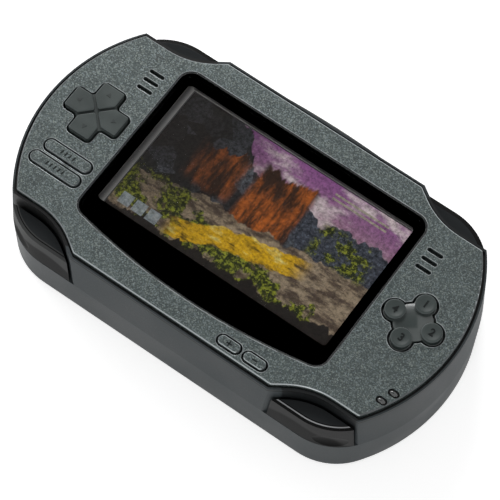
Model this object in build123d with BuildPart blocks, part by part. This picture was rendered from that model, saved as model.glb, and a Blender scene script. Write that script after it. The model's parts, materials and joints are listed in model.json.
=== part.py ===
from build123d import *
import math
import os

os.makedirs("parts", exist_ok=True)

# Driving sizes. The origin is on the resting face below the body's centre,
# X runs along the console, Y towards the top of the picture, Z out of the screen.
plate_length = 150.0
plate_half_width = 40.5
half_length = plate_length / 2
end_radius = 55.5
blend_radius = 19.2
body_height = 36.0
parting_height = 17.5
parting_overhang = 2.3
wall = 1.8
upper_draft = 3
lower_draft = 1
overrun = 5.0
seat_gap = 0.3

# The ribbed strip stands further out than the walls, so the face's centre lies a little
# in front of the origin, which is at the middle of everything
trim_ledge = 1.2
trim_bulge = 2.2
trim_bite = 0.5
trim_wall = plate_half_width + trim_ledge
trim_reach = trim_wall + trim_bulge
trim_root = trim_wall - trim_bite
face_shift = -(trim_reach - plate_half_width - parting_overhang) / 2
face = Plane((0, face_shift, 0))

# Face plate and the deck that carries it
plate_thickness = 2.2
plate_edge_round = 0.5
plate_gap = 0.8
lip_drop = 1.2
deck_thickness = 2.0
deck_top = body_height - plate_thickness
deck_under = deck_top - deck_thickness
lip_height = body_height - lip_drop

# Corner notches of the plate, and the pockets below them
notch_length = 38.3
notch_depth = 7.1
notch_start_x = half_length - notch_length
notch_floor = plate_half_width - notch_depth
notch_slope = 34
notch_radius = 25.7
notch_reach = 15.0
notch_gap = 0.5
pocket_inset = 1.3
pocket_wall = 1.6

# Circuit board level
board_thickness = 1.6
board_top = 21.6
board_under = board_top - board_thickness

# Ribbon, speaker mesh, light guide, switch travel and power switch
ribbon_inset = 2.0
ribbon_room = 3.4
ribbon_width = 22.0
ribbon_slot = 1.2
ribbon_thickness = 0.4
connector_height = 1.8
mesh_thickness = 0.5
mesh_gap = 0.2
guide_bar = 1.0
nub_travel = 0.45
power_inset = 10.7
power_x = notch_start_x - power_inset
power_z = 24.4
power_ledge = 1.5
power_wall_y = plate_half_width + power_ledge
power_body_inset = 3.9
power_body_y = plate_half_width - power_body_inset
power_body_length = 9.0
power_body_width = 4.0
power_body_height = 4.6
knob_stand = 1.0
knob_length = 6.0
knob_height = 2.6
knob_depth = 1.6
knob_stem = 1.6
power_travel = 1.5

# Ribbed strip on the far wall
trim_left_inset = 1.7
trim_right_reach = 0.8
trim_bevel = 4.5
trim_left = -(notch_start_x - trim_left_inset)
trim_right = notch_start_x + trim_right_reach
trim_knee = trim_right - trim_bevel
trim_middle = 2.0
trim_low = 29.0
trim_high = 33.6
trim_steps = 4
trim_step_out = 0.45
trim_step_down = 0.7

end_centre = half_length - end_radius
blend_y = plate_half_width - blend_radius
blend_x = end_centre + math.sqrt((end_radius - blend_radius) ** 2 - blend_y**2)
blend_angle = math.degrees(math.atan2(blend_y, blend_x - end_centre))
slope_tan = math.tan(math.radians(notch_slope))
slope_sin = math.sin(math.radians(notch_slope))
quadrants = [(1, 1), (-1, 1), (1, -1), (-1, -1)]


def side_plane(x, y, z, way):
    # an upright plane that faces along Y, its own X along the console
    return Plane((x, face_shift + y, z), x_dir=(1, 0, 0), z_dir=(0, way, 0))


def body_outline(grow):
    # end arcs, corner blends and straight sides, moved outwards by grow
    with BuildSketch() as shape:
        with BuildLine():
            CenterArc((end_centre, 0), end_radius + grow, 0, blend_angle)
            CenterArc((blend_x, blend_y), blend_radius + grow, blend_angle, 90 - blend_angle)
            Line((blend_x, plate_half_width + grow), (0, plate_half_width + grow))
            mirror(about=Plane.YZ)
            mirror(about=Plane.XZ)
        make_face()
    return shape.sketch


def box_sketch(left, right, low, high):
    with BuildSketch() as shape:
        with Locations(((left + right) / 2, (low + high) / 2)):
            Rectangle(right - left, high - low)
    return shape.sketch


def corner_notch(inset):
    # the area outside the notched edge of one corner, its edge moved outwards by inset
    floor_y = notch_floor + inset
    top_y = plate_half_width + notch_reach
    far_x = half_length + notch_reach
    corner_x = notch_start_x + (plate_half_width - floor_y) / slope_tan + inset / slope_sin
    top_x = notch_start_x + (plate_half_width - top_y) / slope_tan + inset / slope_sin
    with BuildSketch() as shape:
        with BuildLine():
            Polyline((top_x, top_y), (corner_x, floor_y), (far_x, floor_y), (far_x, top_y), close=True)
        make_face()
        fillet(shape.vertices().sort_by_distance((corner_x, floor_y))[0], notch_radius - inset)
    return shape.sketch


def notches(inset):
    with BuildSketch() as shape:
        add(corner_notch(inset))
        mirror(about=Plane.YZ)
        mirror(about=Plane.XZ)
    return shape.sketch


# Screen opening in the face plate: straight top and sides, bowed lower edge
window_reach = 9.9
window_far_margin = 8.1
window_side_margin = 12.5
window_near_margin = 7.5
window_half_length = notch_start_x + window_reach
window_top = plate_half_width - window_far_margin
window_side_low = -(plate_half_width - window_side_margin)
window_bow_low = -(plate_half_width - window_near_margin)
window_corner = 5.0


def window_outline(inset):
    with BuildSketch() as shape:
        with BuildLine():
            Polyline(
                (-window_half_length, window_side_low),
                (-window_half_length, window_top),
                (window_half_length, window_top),
                (window_half_length, window_side_low),
            )
            ThreePointArc(
                (window_half_length, window_side_low),
                (0, window_bow_low),
                (-window_half_length, window_side_low),
            )
        make_face()
        fillet(shape.vertices(), window_corner)
        if inset:
            offset(amount=-inset)
    return shape.sketch


# Controls: places on the face and sizes of the openings round them
dpad_inset = 15.2
dpad_x = -(half_length - dpad_inset)
dpad_y = 2.15
action_inset = 15.0
action_x = half_length - action_inset
action_y = 1.1
control_gap = 0.75
dpad_reach = 9.9
dpad_arm_half = 4.0
dpad_corner = 1.3
dpad_notch_round = 1.9
action_spread = 6.68
action_pad_radius = 3.45
action_web_radius = 6.2
upper_option_inset = 17.25
upper_option_y = -15.25
upper_option_length = 13.1
lower_option_inset = 16.5
lower_option_y = -21.0
lower_option_length = 14.4
option_rows = [(-(half_length - upper_option_inset), upper_option_y, upper_option_length)]
option_rows += [(-(half_length - lower_option_inset), lower_option_y, lower_option_length)]
option_radius = 1.95
menu_inset = 17.4
menu_step = 9.35
small_columns = [notch_start_x - menu_inset, notch_start_x - menu_inset + menu_step]
small_margin = 3.3
small_y = -(plate_half_width - small_margin)
small_length = 4.55
small_radius = 1.6
button_gap = 0.6
disc_radius = 10.9
speaker_inset = 22.4
speaker_room = 2.675
speaker_clearance = 0.25
speaker_radius = (notch_floor - dpad_y - disc_radius) / 2 - speaker_room
speaker_x = half_length - speaker_inset
speaker_y = dpad_y + disc_radius + speaker_radius + speaker_clearance
speaker_step = 3.3
speaker_rows = [speaker_y - speaker_step, speaker_y, speaker_y + speaker_step]
slot_length = 4.2
slot_radius = 0.7
boss_radius = 3.0
boss_shoulder = 1.0
low_boss_y = -11.5
indicator_inset = 6.8
indicator_lift = 3.05
indicator_y = (low_boss_y - boss_radius - boss_shoulder - notch_floor) / 2 + indicator_lift
indicator_step_x = 1.7
indicator_step_y = 4.0
indicator_x = half_length - indicator_inset
indicator_places = [(indicator_x, indicator_y)]
indicator_places += [(indicator_x - indicator_step_x, indicator_y - indicator_step_y)]
indicator_length = 1.4
indicator_radius = 1.05
indicator_gap = 0.15


def dpad_outline(grow):
    # a cross with rounded arms and a hollow round between them
    arm = 2 * (dpad_arm_half + grow)
    reach = 2 * (dpad_reach + grow)
    with BuildSketch() as shape:
        Rectangle(reach, arm)
        Rectangle(arm, reach)
        corners = shape.vertices().sort_by(lambda v: math.hypot(v.X, v.Y))
        fillet(corners[4:], dpad_corner + grow)
        corners = shape.vertices().sort_by(lambda v: math.hypot(v.X, v.Y))
        fillet(corners[0:4], dpad_notch_round - grow)
    return shape.sketch


def action_outline(grow):
    # four round lobes on a round web
    with BuildSketch() as shape:
        Circle(action_web_radius + grow)
        with PolarLocations(action_spread, 4):
            Circle(action_pad_radius + grow)
    return shape.sketch


# Display: the part of the window that the mask leaves clear, the panel in it, and its tray
view_left_margin = 3.95
view_right_margin = 3.9
view_low_margin = 7.35
view_high_margin = 4.5
view_left = -(window_half_length - view_left_margin)
view_right = window_half_length - view_right_margin
view_low = window_side_low + view_low_margin
view_high = window_top - view_high_margin
tray_strip = 2.7
tray_ledge = 1.15
panel_cover = 0.5
panel_left = view_left + tray_strip
panel_right = view_right + panel_cover
panel_low = view_low - panel_cover
panel_high = view_high - tray_ledge
frame_wall = 1.3
frame_cover = 0.3
frame_side = 1.2
frame_gap = 0.15
frame_left = view_left - frame_cover
frame_right = panel_right + frame_side
frame_low = panel_low - frame_side
frame_high = view_high + frame_wall

# Upper housing: drafted wall, deck under the face plate, a pocket for each corner button
side_boss_reach = 0.8
side_boss_inset = 5.9
high_boss_inset = 5.0
high_boss_y = 16.0
low_boss_inset = 4.5
side_boss_x = notch_start_x + side_boss_reach
side_boss_y = plate_half_width - side_boss_inset
boss_places = [(side_boss_x, side_boss_y), (half_length - high_boss_inset, high_boss_y)]
boss_places += [(half_length - low_boss_inset, low_boss_y), (side_boss_x, -side_boss_y)]
boss_places += [(-x, y) for x, y in boss_places]
near_screw_inset = 2.1
near_screw_margin = 12.5
far_screw_x = 14.0
far_screw_margin = 4.9
board_screw_places = [(window_half_length - near_screw_inset, near_screw_margin - plate_half_width)]
board_screw_places += [(far_screw_x, plate_half_width - far_screw_margin)]
board_screw_places += [(-x, y) for x, y in board_screw_places]
board_screw_radius = 0.9
standoff_radius = 2.1
standoff_bite = 6.0
bore_gap = 0.03
screw_radius = 1.25
screw_clearance = 0.05
hinge_set = 10.8
hinge_depth = 1.6
hinge_x = notch_start_x + hinge_set
hinge_y = notch_floor - hinge_depth
pin_radius = 1.0
pin_clearance = 0.04
hinge_boss_radius = 2.4
eye_low = 22.2
eye_height = 4.4
eye_gap = 0.3
eye_radius = 2.2
link_width = 3.2
nub_set = 9.5
nub_depth = 1.8
nub_x = hinge_x + nub_set
nub_end_y = notch_floor - nub_depth
nub_width = 3.0
nub_height = 2.8
window_gap = 0.6
deck_hole_radius = 11.6
mesh_half_x = 4.4
mesh_half_y = 5.2
cavity_overhang = parting_overhang - wall
link_window_width = link_width + 2 * window_gap
nub_window_width = nub_width + 2 * window_gap
hinge_places = [(sx * hinge_x, sy * hinge_y) for sx, sy in quadrants]

with BuildPart() as upper_housing:
    with BuildSketch(face.offset(parting_height)):
        add(body_outline(parting_overhang))
    extrude(amount=lip_height - parting_height, taper=upper_draft)
    with BuildSketch(face.offset(parting_height)):
        add(body_outline(cavity_overhang))
    extrude(amount=deck_under - parting_height, taper=upper_draft, mode=Mode.SUBTRACT)
    with BuildSketch(face.offset(parting_height)):
        add(body_outline(cavity_overhang))
        add(notches(pocket_inset - pocket_wall), mode=Mode.INTERSECT)
    extrude(amount=deck_under - parting_height)
    with BuildSketch(face.offset(deck_top)):
        add(body_outline(plate_gap))
        add(notches(notch_gap), mode=Mode.SUBTRACT)
    extrude(amount=lip_height - deck_top, mode=Mode.SUBTRACT)
    with BuildSketch(face.offset(parting_height)):
        add(notches(pocket_inset))
    extrude(amount=body_height - parting_height, mode=Mode.SUBTRACT)
    # bosses for the housing screws, with a shoulder that the board comes up against
    with BuildSketch(face.offset(parting_height)):
        with Locations(*boss_places):
            Circle(boss_radius)
    extrude(amount=deck_under - parting_height)
    with BuildSketch(face.offset(board_top)):
        with Locations(*boss_places):
            Circle(boss_radius + boss_shoulder)
        add(body_outline(0), mode=Mode.INTERSECT)
    extrude(amount=deck_under - board_top)
    # bosses for the board screws
    with BuildSketch(face.offset(board_top)):
        with Locations(*board_screw_places):
            Circle(standoff_radius)
    extrude(amount=deck_under - board_top)
    with BuildSketch(face.offset(board_top)):
        with Locations(*board_screw_places):
            Circle(board_screw_radius + bore_gap)
    extrude(amount=standoff_bite + seat_gap, mode=Mode.SUBTRACT)
    # bosses that hold the upper ends of the corner buttons' hinge pins
    with BuildSketch(face.offset(eye_low + eye_height + eye_gap)):
        with Locations(*hinge_places):
            Circle(hinge_boss_radius)
    extrude(amount=deck_under - eye_low - eye_height - eye_gap)
    with BuildSketch(face.offset(parting_height)):
        with Locations(*boss_places):
            Circle(screw_radius + screw_clearance)
    extrude(amount=deck_under - parting_height, mode=Mode.SUBTRACT)
    with BuildSketch(face.offset(parting_height)):
        with Locations(*hinge_places):
            Circle(pin_radius + pin_clearance)
    extrude(amount=deck_under - parting_height, mode=Mode.SUBTRACT)
    # seat of the ribbed strip, and the slot and recess for the power switch's knob
    with BuildSketch(face.offset(trim_low)):
        with Locations(((trim_left + trim_right) / 2, trim_root)):
            Rectangle(trim_right - trim_left, overrun, align=(Align.CENTER, Align.MIN))
    extrude(amount=trim_high - trim_low, mode=Mode.SUBTRACT)
    with BuildSketch(side_plane(power_x, plate_half_width + overrun, power_z, -1)):
        Rectangle(knob_stem + 2 * (power_travel + seat_gap), knob_stem + 2 * seat_gap)
    extrude(amount=2 * overrun, mode=Mode.SUBTRACT)
    with BuildSketch(side_plane(power_x, plate_half_width + overrun, power_z, -1)):
        Rectangle(knob_length + 2 * (power_travel + seat_gap), knob_height + 2 * seat_gap)
    recess = overrun + plate_half_width - power_wall_y - knob_stand + knob_depth + seat_gap
    extrude(amount=recess, mode=Mode.SUBTRACT)
    # windows in the pocket walls for the hinge links and the switch nubs
    with BuildSketch(face.offset(eye_low - eye_gap)):
        with Locations(*[(sx * hinge_x, sy * plate_half_width) for sx, sy in quadrants]):
            Rectangle(link_window_width, 2 * (plate_half_width - hinge_y - eye_gap))
    extrude(amount=eye_height + 2 * eye_gap, mode=Mode.SUBTRACT)
    with BuildSketch(face.offset(eye_low - eye_gap)):
        with Locations(*[(sx * nub_x, sy * plate_half_width) for sx, sy in quadrants]):
            Rectangle(nub_window_width, 2 * (plate_half_width - nub_end_y + eye_gap))
    extrude(amount=nub_height + 2 * eye_gap, mode=Mode.SUBTRACT)
    # openings in the deck
    with BuildSketch(face.offset(deck_under)):
        with Locations(((frame_left + frame_right) / 2, (frame_low + frame_high) / 2)):
            Rectangle(frame_right - frame_left + 2 * frame_gap, frame_high - frame_low + 2 * frame_gap)
        with Locations((dpad_x, dpad_y), (action_x, action_y)):
            Circle(deck_hole_radius)
        for x, y, length in option_rows:
            with Locations((x, y)):
                SlotCenterToCenter(length, 2 * (option_radius + button_gap))
        with Locations(*[(x, small_y) for x in small_columns]):
            SlotCenterToCenter(small_length, 2 * (small_radius + button_gap))
        with Locations(*[(s * speaker_x, y) for s in (1, -1) for y in speaker_rows]):
            SlotCenterToCenter(slot_length, 2 * slot_radius)
        with Locations(*indicator_places):
            SlotCenterToCenter(indicator_length, 2 * (indicator_radius + indicator_gap))
    extrude(amount=deck_thickness, mode=Mode.SUBTRACT)
    with BuildSketch(face.offset(deck_top - mesh_thickness)):
        with Locations((-speaker_x, speaker_rows[1]), (speaker_x, speaker_rows[1])):
            Rectangle(2 * (mesh_half_x + mesh_gap), 2 * (mesh_half_y + mesh_gap))
    extrude(amount=mesh_thickness, mode=Mode.SUBTRACT)

upper_housing.part.label = "upper_housing"
export_step(upper_housing.part, "parts/upper_housing.step")

# Face plate: one moulding with a ledge for the screen window
plate_corner = 1.0
ledge_width = 1.5
ledge_height = 0.7
opening_round = 0.25

with BuildPart() as face_plate:
    with BuildSketch(face.offset(deck_top)) as plate_shape:
        add(body_outline(0))
        add(notches(0), mode=Mode.SUBTRACT)
        corners = plate_shape.vertices().filter_by(lambda v: abs(abs(v.Y) - notch_floor) < overrun / 1000)
        fillet(corners.sort_by(lambda v: -abs(v.X))[0:4], plate_corner)
        corners = plate_shape.vertices().filter_by(lambda v: abs(abs(v.X) - notch_start_x) < overrun / 1000)
        fillet(corners, plate_corner)
    extrude(amount=plate_thickness)
    fillet(face_plate.faces().sort_by(Axis.Z)[-1].edges(), plate_edge_round)
    with BuildSketch(face.offset(deck_top)):
        add(window_outline(ledge_width))
    extrude(amount=plate_thickness, mode=Mode.SUBTRACT)
    with BuildSketch(face.offset(deck_top + ledge_height)):
        add(window_outline(0))
    extrude(amount=plate_thickness, mode=Mode.SUBTRACT)
    with BuildSketch(face.offset(deck_top)):
        with Locations((dpad_x, dpad_y)):
            add(dpad_outline(control_gap))
        with Locations((action_x, action_y)):
            add(action_outline(control_gap))
        for x, y, length in option_rows:
            with Locations((x, y)):
                SlotCenterToCenter(length, 2 * (option_radius + button_gap))
        with Locations(*[(x, small_y) for x in small_columns]):
            SlotCenterToCenter(small_length, 2 * (small_radius + button_gap))
        with Locations(*[(s * speaker_x, y) for s in (1, -1) for y in speaker_rows]):
            SlotCenterToCenter(slot_length, 2 * slot_radius)
        with Locations(*indicator_places):
            SlotCenterToCenter(indicator_length, 2 * (indicator_radius + indicator_gap))
    extrude(amount=plate_thickness, mode=Mode.SUBTRACT)

face_plate.part.label = "face_plate"
export_step(face_plate.part, "parts/face_plate.step")

# Lower housing: drafted shell with the battery bay, screw wells and pin posts
floor_thickness = 2.6
bottom_round = 3.0
cell_radius = 7.25
cell_length = 49.5
cell_nub_height = 1.0
cell_step = 14.7
contact_thickness = 0.4
spring_length = 5.5
bay_side_gap = 0.7
bay_half_x = 1.5 * cell_step + cell_radius + bay_side_gap
bay_half_y = (cell_length + cell_nub_height + spring_length) / 2 + contact_thickness
bay_wall = 1.2
bay_top = 18.6
corner_floor = 1.6
well_radius = 3.7
well_bore = 2.6
well_top = 13.5
screw_hole_clearance = 0.15
cover_thickness = 2.0
cover_overlap = 1.0
cover_gap = 0.15
tongue_reach = 1.2
tongue_low = 0.9
tongue_high = 1.9
pin_post_radius = 2.2
pin_post_top = 19.6
pin_low = 15.8
pin_high = 31.0
base_overhang = parting_overhang - parting_height * math.tan(math.radians(lower_draft))
floor_overhang = cavity_overhang - (parting_height - floor_thickness) * math.tan(math.radians(lower_draft))
cover_half_x = bay_half_x + cover_overlap
cover_start_y = -bay_half_y - cover_overlap
cover_length = plate_half_width + parting_overhang + overrun - cover_start_y

with BuildPart() as lower_housing:
    with BuildSketch(face):
        add(body_outline(base_overhang))
    extrude(amount=parting_height, taper=-lower_draft)
    fillet(lower_housing.faces().sort_by(Axis.Z)[0].edges(), bottom_round)
    with BuildSketch(face.offset(floor_thickness)):
        add(body_outline(floor_overhang))
    extrude(amount=parting_height - floor_thickness, taper=-lower_draft, mode=Mode.SUBTRACT)
    with BuildSketch(face.offset(parting_height - corner_floor)):
        add(body_outline(cavity_overhang))
        add(notches(pocket_inset - pocket_wall), mode=Mode.INTERSECT)
    extrude(amount=corner_floor)
    with BuildSketch(face.offset(floor_thickness)):
        Rectangle(2 * (bay_half_x + bay_wall), 2 * (bay_half_y + bay_wall))
    extrude(amount=bay_top - floor_thickness)
    with BuildSketch(face.offset(floor_thickness)):
        with Locations(*boss_places):
            Circle(well_radius)
    extrude(amount=parting_height - floor_thickness)
    with BuildSketch(face.offset(floor_thickness)):
        with Locations(*hinge_places):
            Circle(pin_post_radius)
    extrude(amount=pin_post_top - floor_thickness)
    with BuildSketch(face):
        with Locations(*boss_places):
            Circle(well_bore)
    extrude(amount=well_top, mode=Mode.SUBTRACT)
    with BuildSketch(face):
        with Locations(*boss_places):
            Circle(screw_radius + screw_hole_clearance)
    extrude(amount=parting_height, mode=Mode.SUBTRACT)
    with BuildSketch(face.offset(pin_low)):
        with Locations(*hinge_places):
            Circle(pin_radius + pin_clearance)
    extrude(amount=parting_height, mode=Mode.SUBTRACT)
    with BuildSketch(face):
        Rectangle(2 * bay_half_x, 2 * bay_half_y)
    extrude(amount=bay_top - bay_wall, mode=Mode.SUBTRACT)
    with BuildSketch(face):
        with Locations((0, cover_start_y - cover_gap)):
            Rectangle(2 * (cover_half_x + cover_gap), cover_length, align=(Align.CENTER, Align.MIN))
    extrude(amount=cover_thickness + cover_gap, mode=Mode.SUBTRACT)
    with BuildSketch(face.offset(tongue_low - cover_gap)):
        with Locations((0, cover_start_y - cover_gap)):
            slot_width = 2 * (cover_half_x + tongue_reach + cover_gap)
            Rectangle(slot_width, cover_length, align=(Align.CENTER, Align.MIN))
    extrude(amount=tongue_high - tongue_low + 2 * cover_gap, mode=Mode.SUBTRACT)

lower_housing.part.label = "lower_housing"
export_step(lower_housing.part, "parts/lower_housing.step")

grip_count = 5
grip_length = 16.0
grip_width = 1.2
grip_depth = 0.5
grip_step = 2.8
grip_y = 26.0

with BuildPart() as battery_cover:
    with BuildSketch(face):
        add(body_outline(base_overhang))
    extrude(amount=parting_height, taper=-lower_draft)
    fillet(battery_cover.faces().sort_by(Axis.Z)[0].edges(), bottom_round)
    with BuildSketch(face):
        with Locations((0, cover_start_y)):
            Rectangle(2 * cover_half_x, cover_length, align=(Align.CENTER, Align.MIN))
    extrude(amount=cover_thickness, mode=Mode.INTERSECT)
    with BuildSketch(face.offset(tongue_low)):
        for s in (1, -1):
            with Locations((s * cover_half_x, cover_start_y)):
                tongue_length = cover_length - overrun - 2 * tongue_reach
                Rectangle(2 * tongue_reach, tongue_length, align=(Align.CENTER, Align.MIN))
    extrude(amount=tongue_high - tongue_low)
    with BuildSketch(face):
        with Locations(*[(0, grip_y + i * grip_step) for i in range(grip_count)]):
            SlotOverall(grip_length, grip_width)
    extrude(amount=grip_depth, mode=Mode.SUBTRACT)

battery_cover.part.label = "battery_cover"
export_step(battery_cover.part, "parts/battery_cover.step")

# Four AA cells side by side, each the other way round from the last
cell_nub_radius = 2.7
cell_z = 9.65
cell_columns = [(i - 1.5) * cell_step for i in range(4)]
contact_half = 5.0
cell_tip_y = bay_half_y - contact_thickness
coil_radius = 2.6
coil_wire = 0.3
coil_turns = 4

for i, x in enumerate(cell_columns):
    way = 1 if i % 2 == 0 else -1
    with BuildPart() as battery_cell:
        with BuildSketch(side_plane(x, way * (cell_tip_y - cell_nub_height), cell_z, -way)):
            Circle(cell_radius)
        extrude(amount=cell_length)
        fillet(battery_cell.edges(), contact_thickness)
        with BuildSketch(side_plane(x, way * cell_tip_y, cell_z, -way)):
            Circle(cell_nub_radius)
        extrude(amount=cell_nub_height + contact_thickness)
    battery_cell.part.label = f"battery_cell_{i + 1}"
    export_step(battery_cell.part, f"parts/battery_cell_{i + 1}.step")

with BuildPart() as battery_contacts:
    for x in cell_columns:
        for way in (1, -1):
            with BuildSketch(side_plane(x, way * bay_half_y, cell_z, -way)):
                Rectangle(2 * contact_half, 2 * contact_half)
            extrude(amount=contact_thickness)

battery_contacts.part.label = "battery_contacts"
export_step(battery_contacts.part, "parts/battery_contacts.step")

with BuildPart() as battery_springs:
    for i, x in enumerate(cell_columns):
        way = 1 if i % 2 == 0 else -1
        start = face_shift - way * (bay_half_y - contact_thickness - coil_wire)
        with BuildLine() as coil:
            Helix(
                (spring_length - 2 * coil_wire) / coil_turns,
                spring_length - 2 * coil_wire,
                coil_radius,
                center=(x, start, cell_z),
                direction=(0, way, 0),
            )
        with BuildSketch(Plane(coil.line @ 0, z_dir=coil.line % 0)):
            RegularPolygon(coil_wire, 6)
        sweep()

battery_springs.part.label = "battery_springs"
export_step(battery_springs.part, "parts/battery_springs.step")

# Main board, cut back from the walls and pockets, bored for bosses and pins
board_inset = 1.4
board_gap = 0.3
board_head_radius = 1.8
board_head_height = 1.2

with BuildPart() as main_board:
    with BuildSketch(face.offset(board_under)):
        add(body_outline(-board_inset))
        add(notches(pocket_inset - pocket_wall - board_gap), mode=Mode.SUBTRACT)
        with Locations(*boss_places):
            Circle(boss_radius + board_gap, mode=Mode.SUBTRACT)
        with Locations(*hinge_places):
            Circle(pin_radius + board_gap, mode=Mode.SUBTRACT)
        with Locations(*board_screw_places):
            Circle(board_screw_radius + board_gap, mode=Mode.SUBTRACT)
    extrude(amount=board_thickness)

main_board.part.label = "main_board"
export_step(main_board.part, "parts/main_board.step")

with BuildPart() as board_screws:
    with BuildSketch(face.offset(board_under - board_head_height)):
        with Locations(*board_screw_places):
            Circle(board_head_radius)
    extrude(amount=board_head_height)
    with BuildSketch(face.offset(board_under)):
        with Locations(*board_screw_places):
            Circle(board_screw_radius)
    extrude(amount=board_thickness + standoff_bite)

board_screws.part.label = "board_screws"
export_step(board_screws.part, "parts/board_screws.step")

screw_head_radius = 2.4
screw_head_height = 1.9
screw_reach = 28.6
slot_long = 3.0
slot_wide = 0.8
slot_deep = 1.1

with BuildPart() as housing_screws:
    with BuildSketch(face.offset(well_top - screw_head_height)):
        with Locations(*boss_places):
            Circle(screw_head_radius)
    extrude(amount=screw_head_height)
    with BuildSketch(face.offset(well_top)):
        with Locations(*boss_places):
            Circle(screw_radius)
    extrude(amount=screw_reach - well_top)
    with BuildSketch(face.offset(well_top - screw_head_height)):
        with Locations(*boss_places):
            Rectangle(slot_long, slot_wide)
            Rectangle(slot_wide, slot_long)
    extrude(amount=slot_deep, mode=Mode.SUBTRACT)

housing_screws.part.label = "housing_screws"
export_step(housing_screws.part, "parts/housing_screws.step")

# Corner buttons: a curved block in each pocket, hinged on an upright pin
trigger_top = 30.0
trigger_inset = 2.3
trigger_bevel = 1.5
trigger_bevel_drop = 0.6
trigger_soft = 0.25
hollow_radius = 7.0
hollow_depth = 0.75
hollow_z = 21.6
hollow_half_length = 12.0
hollow_turn = math.radians(62)
hollow_lean = (hollow_z - parting_height) * math.tan(math.radians(upper_draft))
hollow_reach = blend_radius + parting_overhang - hollow_lean - hollow_depth + hollow_radius
names = ["back_right_trigger", "back_left_trigger", "front_right_trigger", "front_left_trigger"]

for (sx, sy), name in zip(quadrants, names):
    outward = (Align.CENTER, Align.MIN if sy > 0 else Align.MAX)
    with BuildPart() as trigger:
        with BuildSketch(face.offset(parting_height)):
            add(body_outline(parting_overhang))
        extrude(amount=trigger_top - parting_height, taper=upper_draft)
        top_face = trigger.faces().sort_by(Axis.Z)[-1]
        chamfer(top_face.edges(), trigger_bevel, trigger_bevel_drop, reference=top_face)
        fillet(trigger.faces().sort_by(Axis.Z)[-1].edges(), trigger_soft)
        # shallow hollow for the finger, across the rounded corner of the side
        hollow_x = sx * (blend_x + hollow_reach * math.cos(hollow_turn))
        hollow_y = sy * (blend_y + hollow_reach * math.sin(hollow_turn)) + face_shift
        tangent = (-sx * math.sin(hollow_turn), sy * math.cos(hollow_turn), 0)
        with BuildSketch(Plane((hollow_x, hollow_y, hollow_z), z_dir=tangent)):
            Circle(hollow_radius)
        extrude(amount=hollow_half_length, both=True, mode=Mode.SUBTRACT)
        with BuildSketch(face.offset(parting_height + seat_gap)):
            with Locations((0, 0)):
                add(corner_notch(trigger_inset))
                if sx < 0:
                    mirror(about=Plane.YZ, mode=Mode.REPLACE)
                if sy < 0:
                    mirror(about=Plane.XZ, mode=Mode.REPLACE)
        extrude(amount=trigger_top - parting_height, mode=Mode.INTERSECT)
        with BuildSketch(face.offset(eye_low)):
            with Locations((sx * hinge_x, sy * hinge_y)):
                Circle(eye_radius)
                Rectangle(link_width, notch_reach / 2, align=outward)
        extrude(amount=eye_height)
        with BuildSketch(face.offset(eye_low)):
            with Locations((sx * nub_x, sy * nub_end_y)):
                Rectangle(nub_width, notch_reach / 2, align=outward)
        extrude(amount=nub_height)
        with BuildSketch(face.offset(eye_low)):
            with Locations((sx * hinge_x, sy * hinge_y)):
                Circle(pin_radius + pin_clearance)
        extrude(amount=eye_height, mode=Mode.SUBTRACT)
    trigger.part.label = name
    export_step(trigger.part, f"parts/{name}.step")

# Screen stack: frame standing on the board, backlight, panel, mask and window
lens_gap = 0.12
lens_thickness = 1.35
mask_thickness = 0.25
view_corner = 1.2
frame_top = 34.1
frame_floor_z = 27.6
frame_floor = 1.0
frame_corner = 1.6
frame_leg_inset = 10.0
frame_leg_margin = 4.3
frame_leg_radius = 1.8
panel_top = 34.0
panel_thickness = 1.8
backlight_thickness = panel_top - panel_thickness - frame_floor_z - frame_floor
lens_low = deck_top + ledge_height


with BuildPart() as screen_window:
    with BuildSketch(face.offset(lens_low)):
        add(window_outline(lens_gap))
    extrude(amount=lens_thickness)
    fillet(screen_window.faces().sort_by(Axis.Z)[-1].edges(), opening_round)

screen_window.part.label = "screen_window"
export_step(screen_window.part, "parts/screen_window.step")

with BuildPart() as window_mask:
    with BuildSketch(face.offset(lens_low - mask_thickness)):
        add(window_outline(ledge_width + lens_gap))
    extrude(amount=mask_thickness)
    with BuildSketch(face.offset(lens_low - mask_thickness)) as view:
        add(box_sketch(view_left, view_right, view_low, view_high))
        fillet(view.vertices(), view_corner)
    extrude(amount=mask_thickness, mode=Mode.SUBTRACT)

window_mask.part.label = "window_mask"
export_step(window_mask.part, "parts/window_mask.step")

with BuildPart() as display_frame:
    with BuildSketch(face.offset(frame_floor_z)):
        add(box_sketch(frame_left, frame_right, frame_low, frame_high))
    extrude(amount=frame_top - frame_floor_z)
    chamfer(display_frame.edges().filter_by(Axis.Z).group_by(Axis.Y)[-1], frame_corner)
    with BuildSketch(face.offset(frame_floor_z + frame_floor)):
        add(box_sketch(panel_left, panel_right, panel_low, panel_high))
    extrude(amount=frame_top - frame_floor_z, mode=Mode.SUBTRACT)
    with BuildSketch(face.offset(board_top)):
        leg_step_x = 2 * (window_half_length - frame_leg_inset)
        leg_step_y = -2 * (view_low + frame_leg_margin)
        with GridLocations(leg_step_x, leg_step_y, 2, 2):
            Circle(frame_leg_radius)
    extrude(amount=frame_floor_z - board_top)
    with BuildSketch(face.offset(frame_floor_z)):
        with Locations((0, panel_low + ribbon_inset)):
            Rectangle(ribbon_width + 2 * board_gap, ribbon_slot)
    extrude(amount=frame_floor, mode=Mode.SUBTRACT)

display_frame.part.label = "display_frame"
export_step(display_frame.part, "parts/display_frame.step")

with BuildPart() as backlight_panel:
    with BuildSketch(face.offset(frame_floor_z + frame_floor)):
        sheet_low = panel_low + ribbon_room
        add(box_sketch(panel_left + lens_gap, panel_right - lens_gap, sheet_low, panel_high - lens_gap))
    extrude(amount=backlight_thickness)

backlight_panel.part.label = "backlight_panel"
export_step(backlight_panel.part, "parts/backlight_panel.step")

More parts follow.
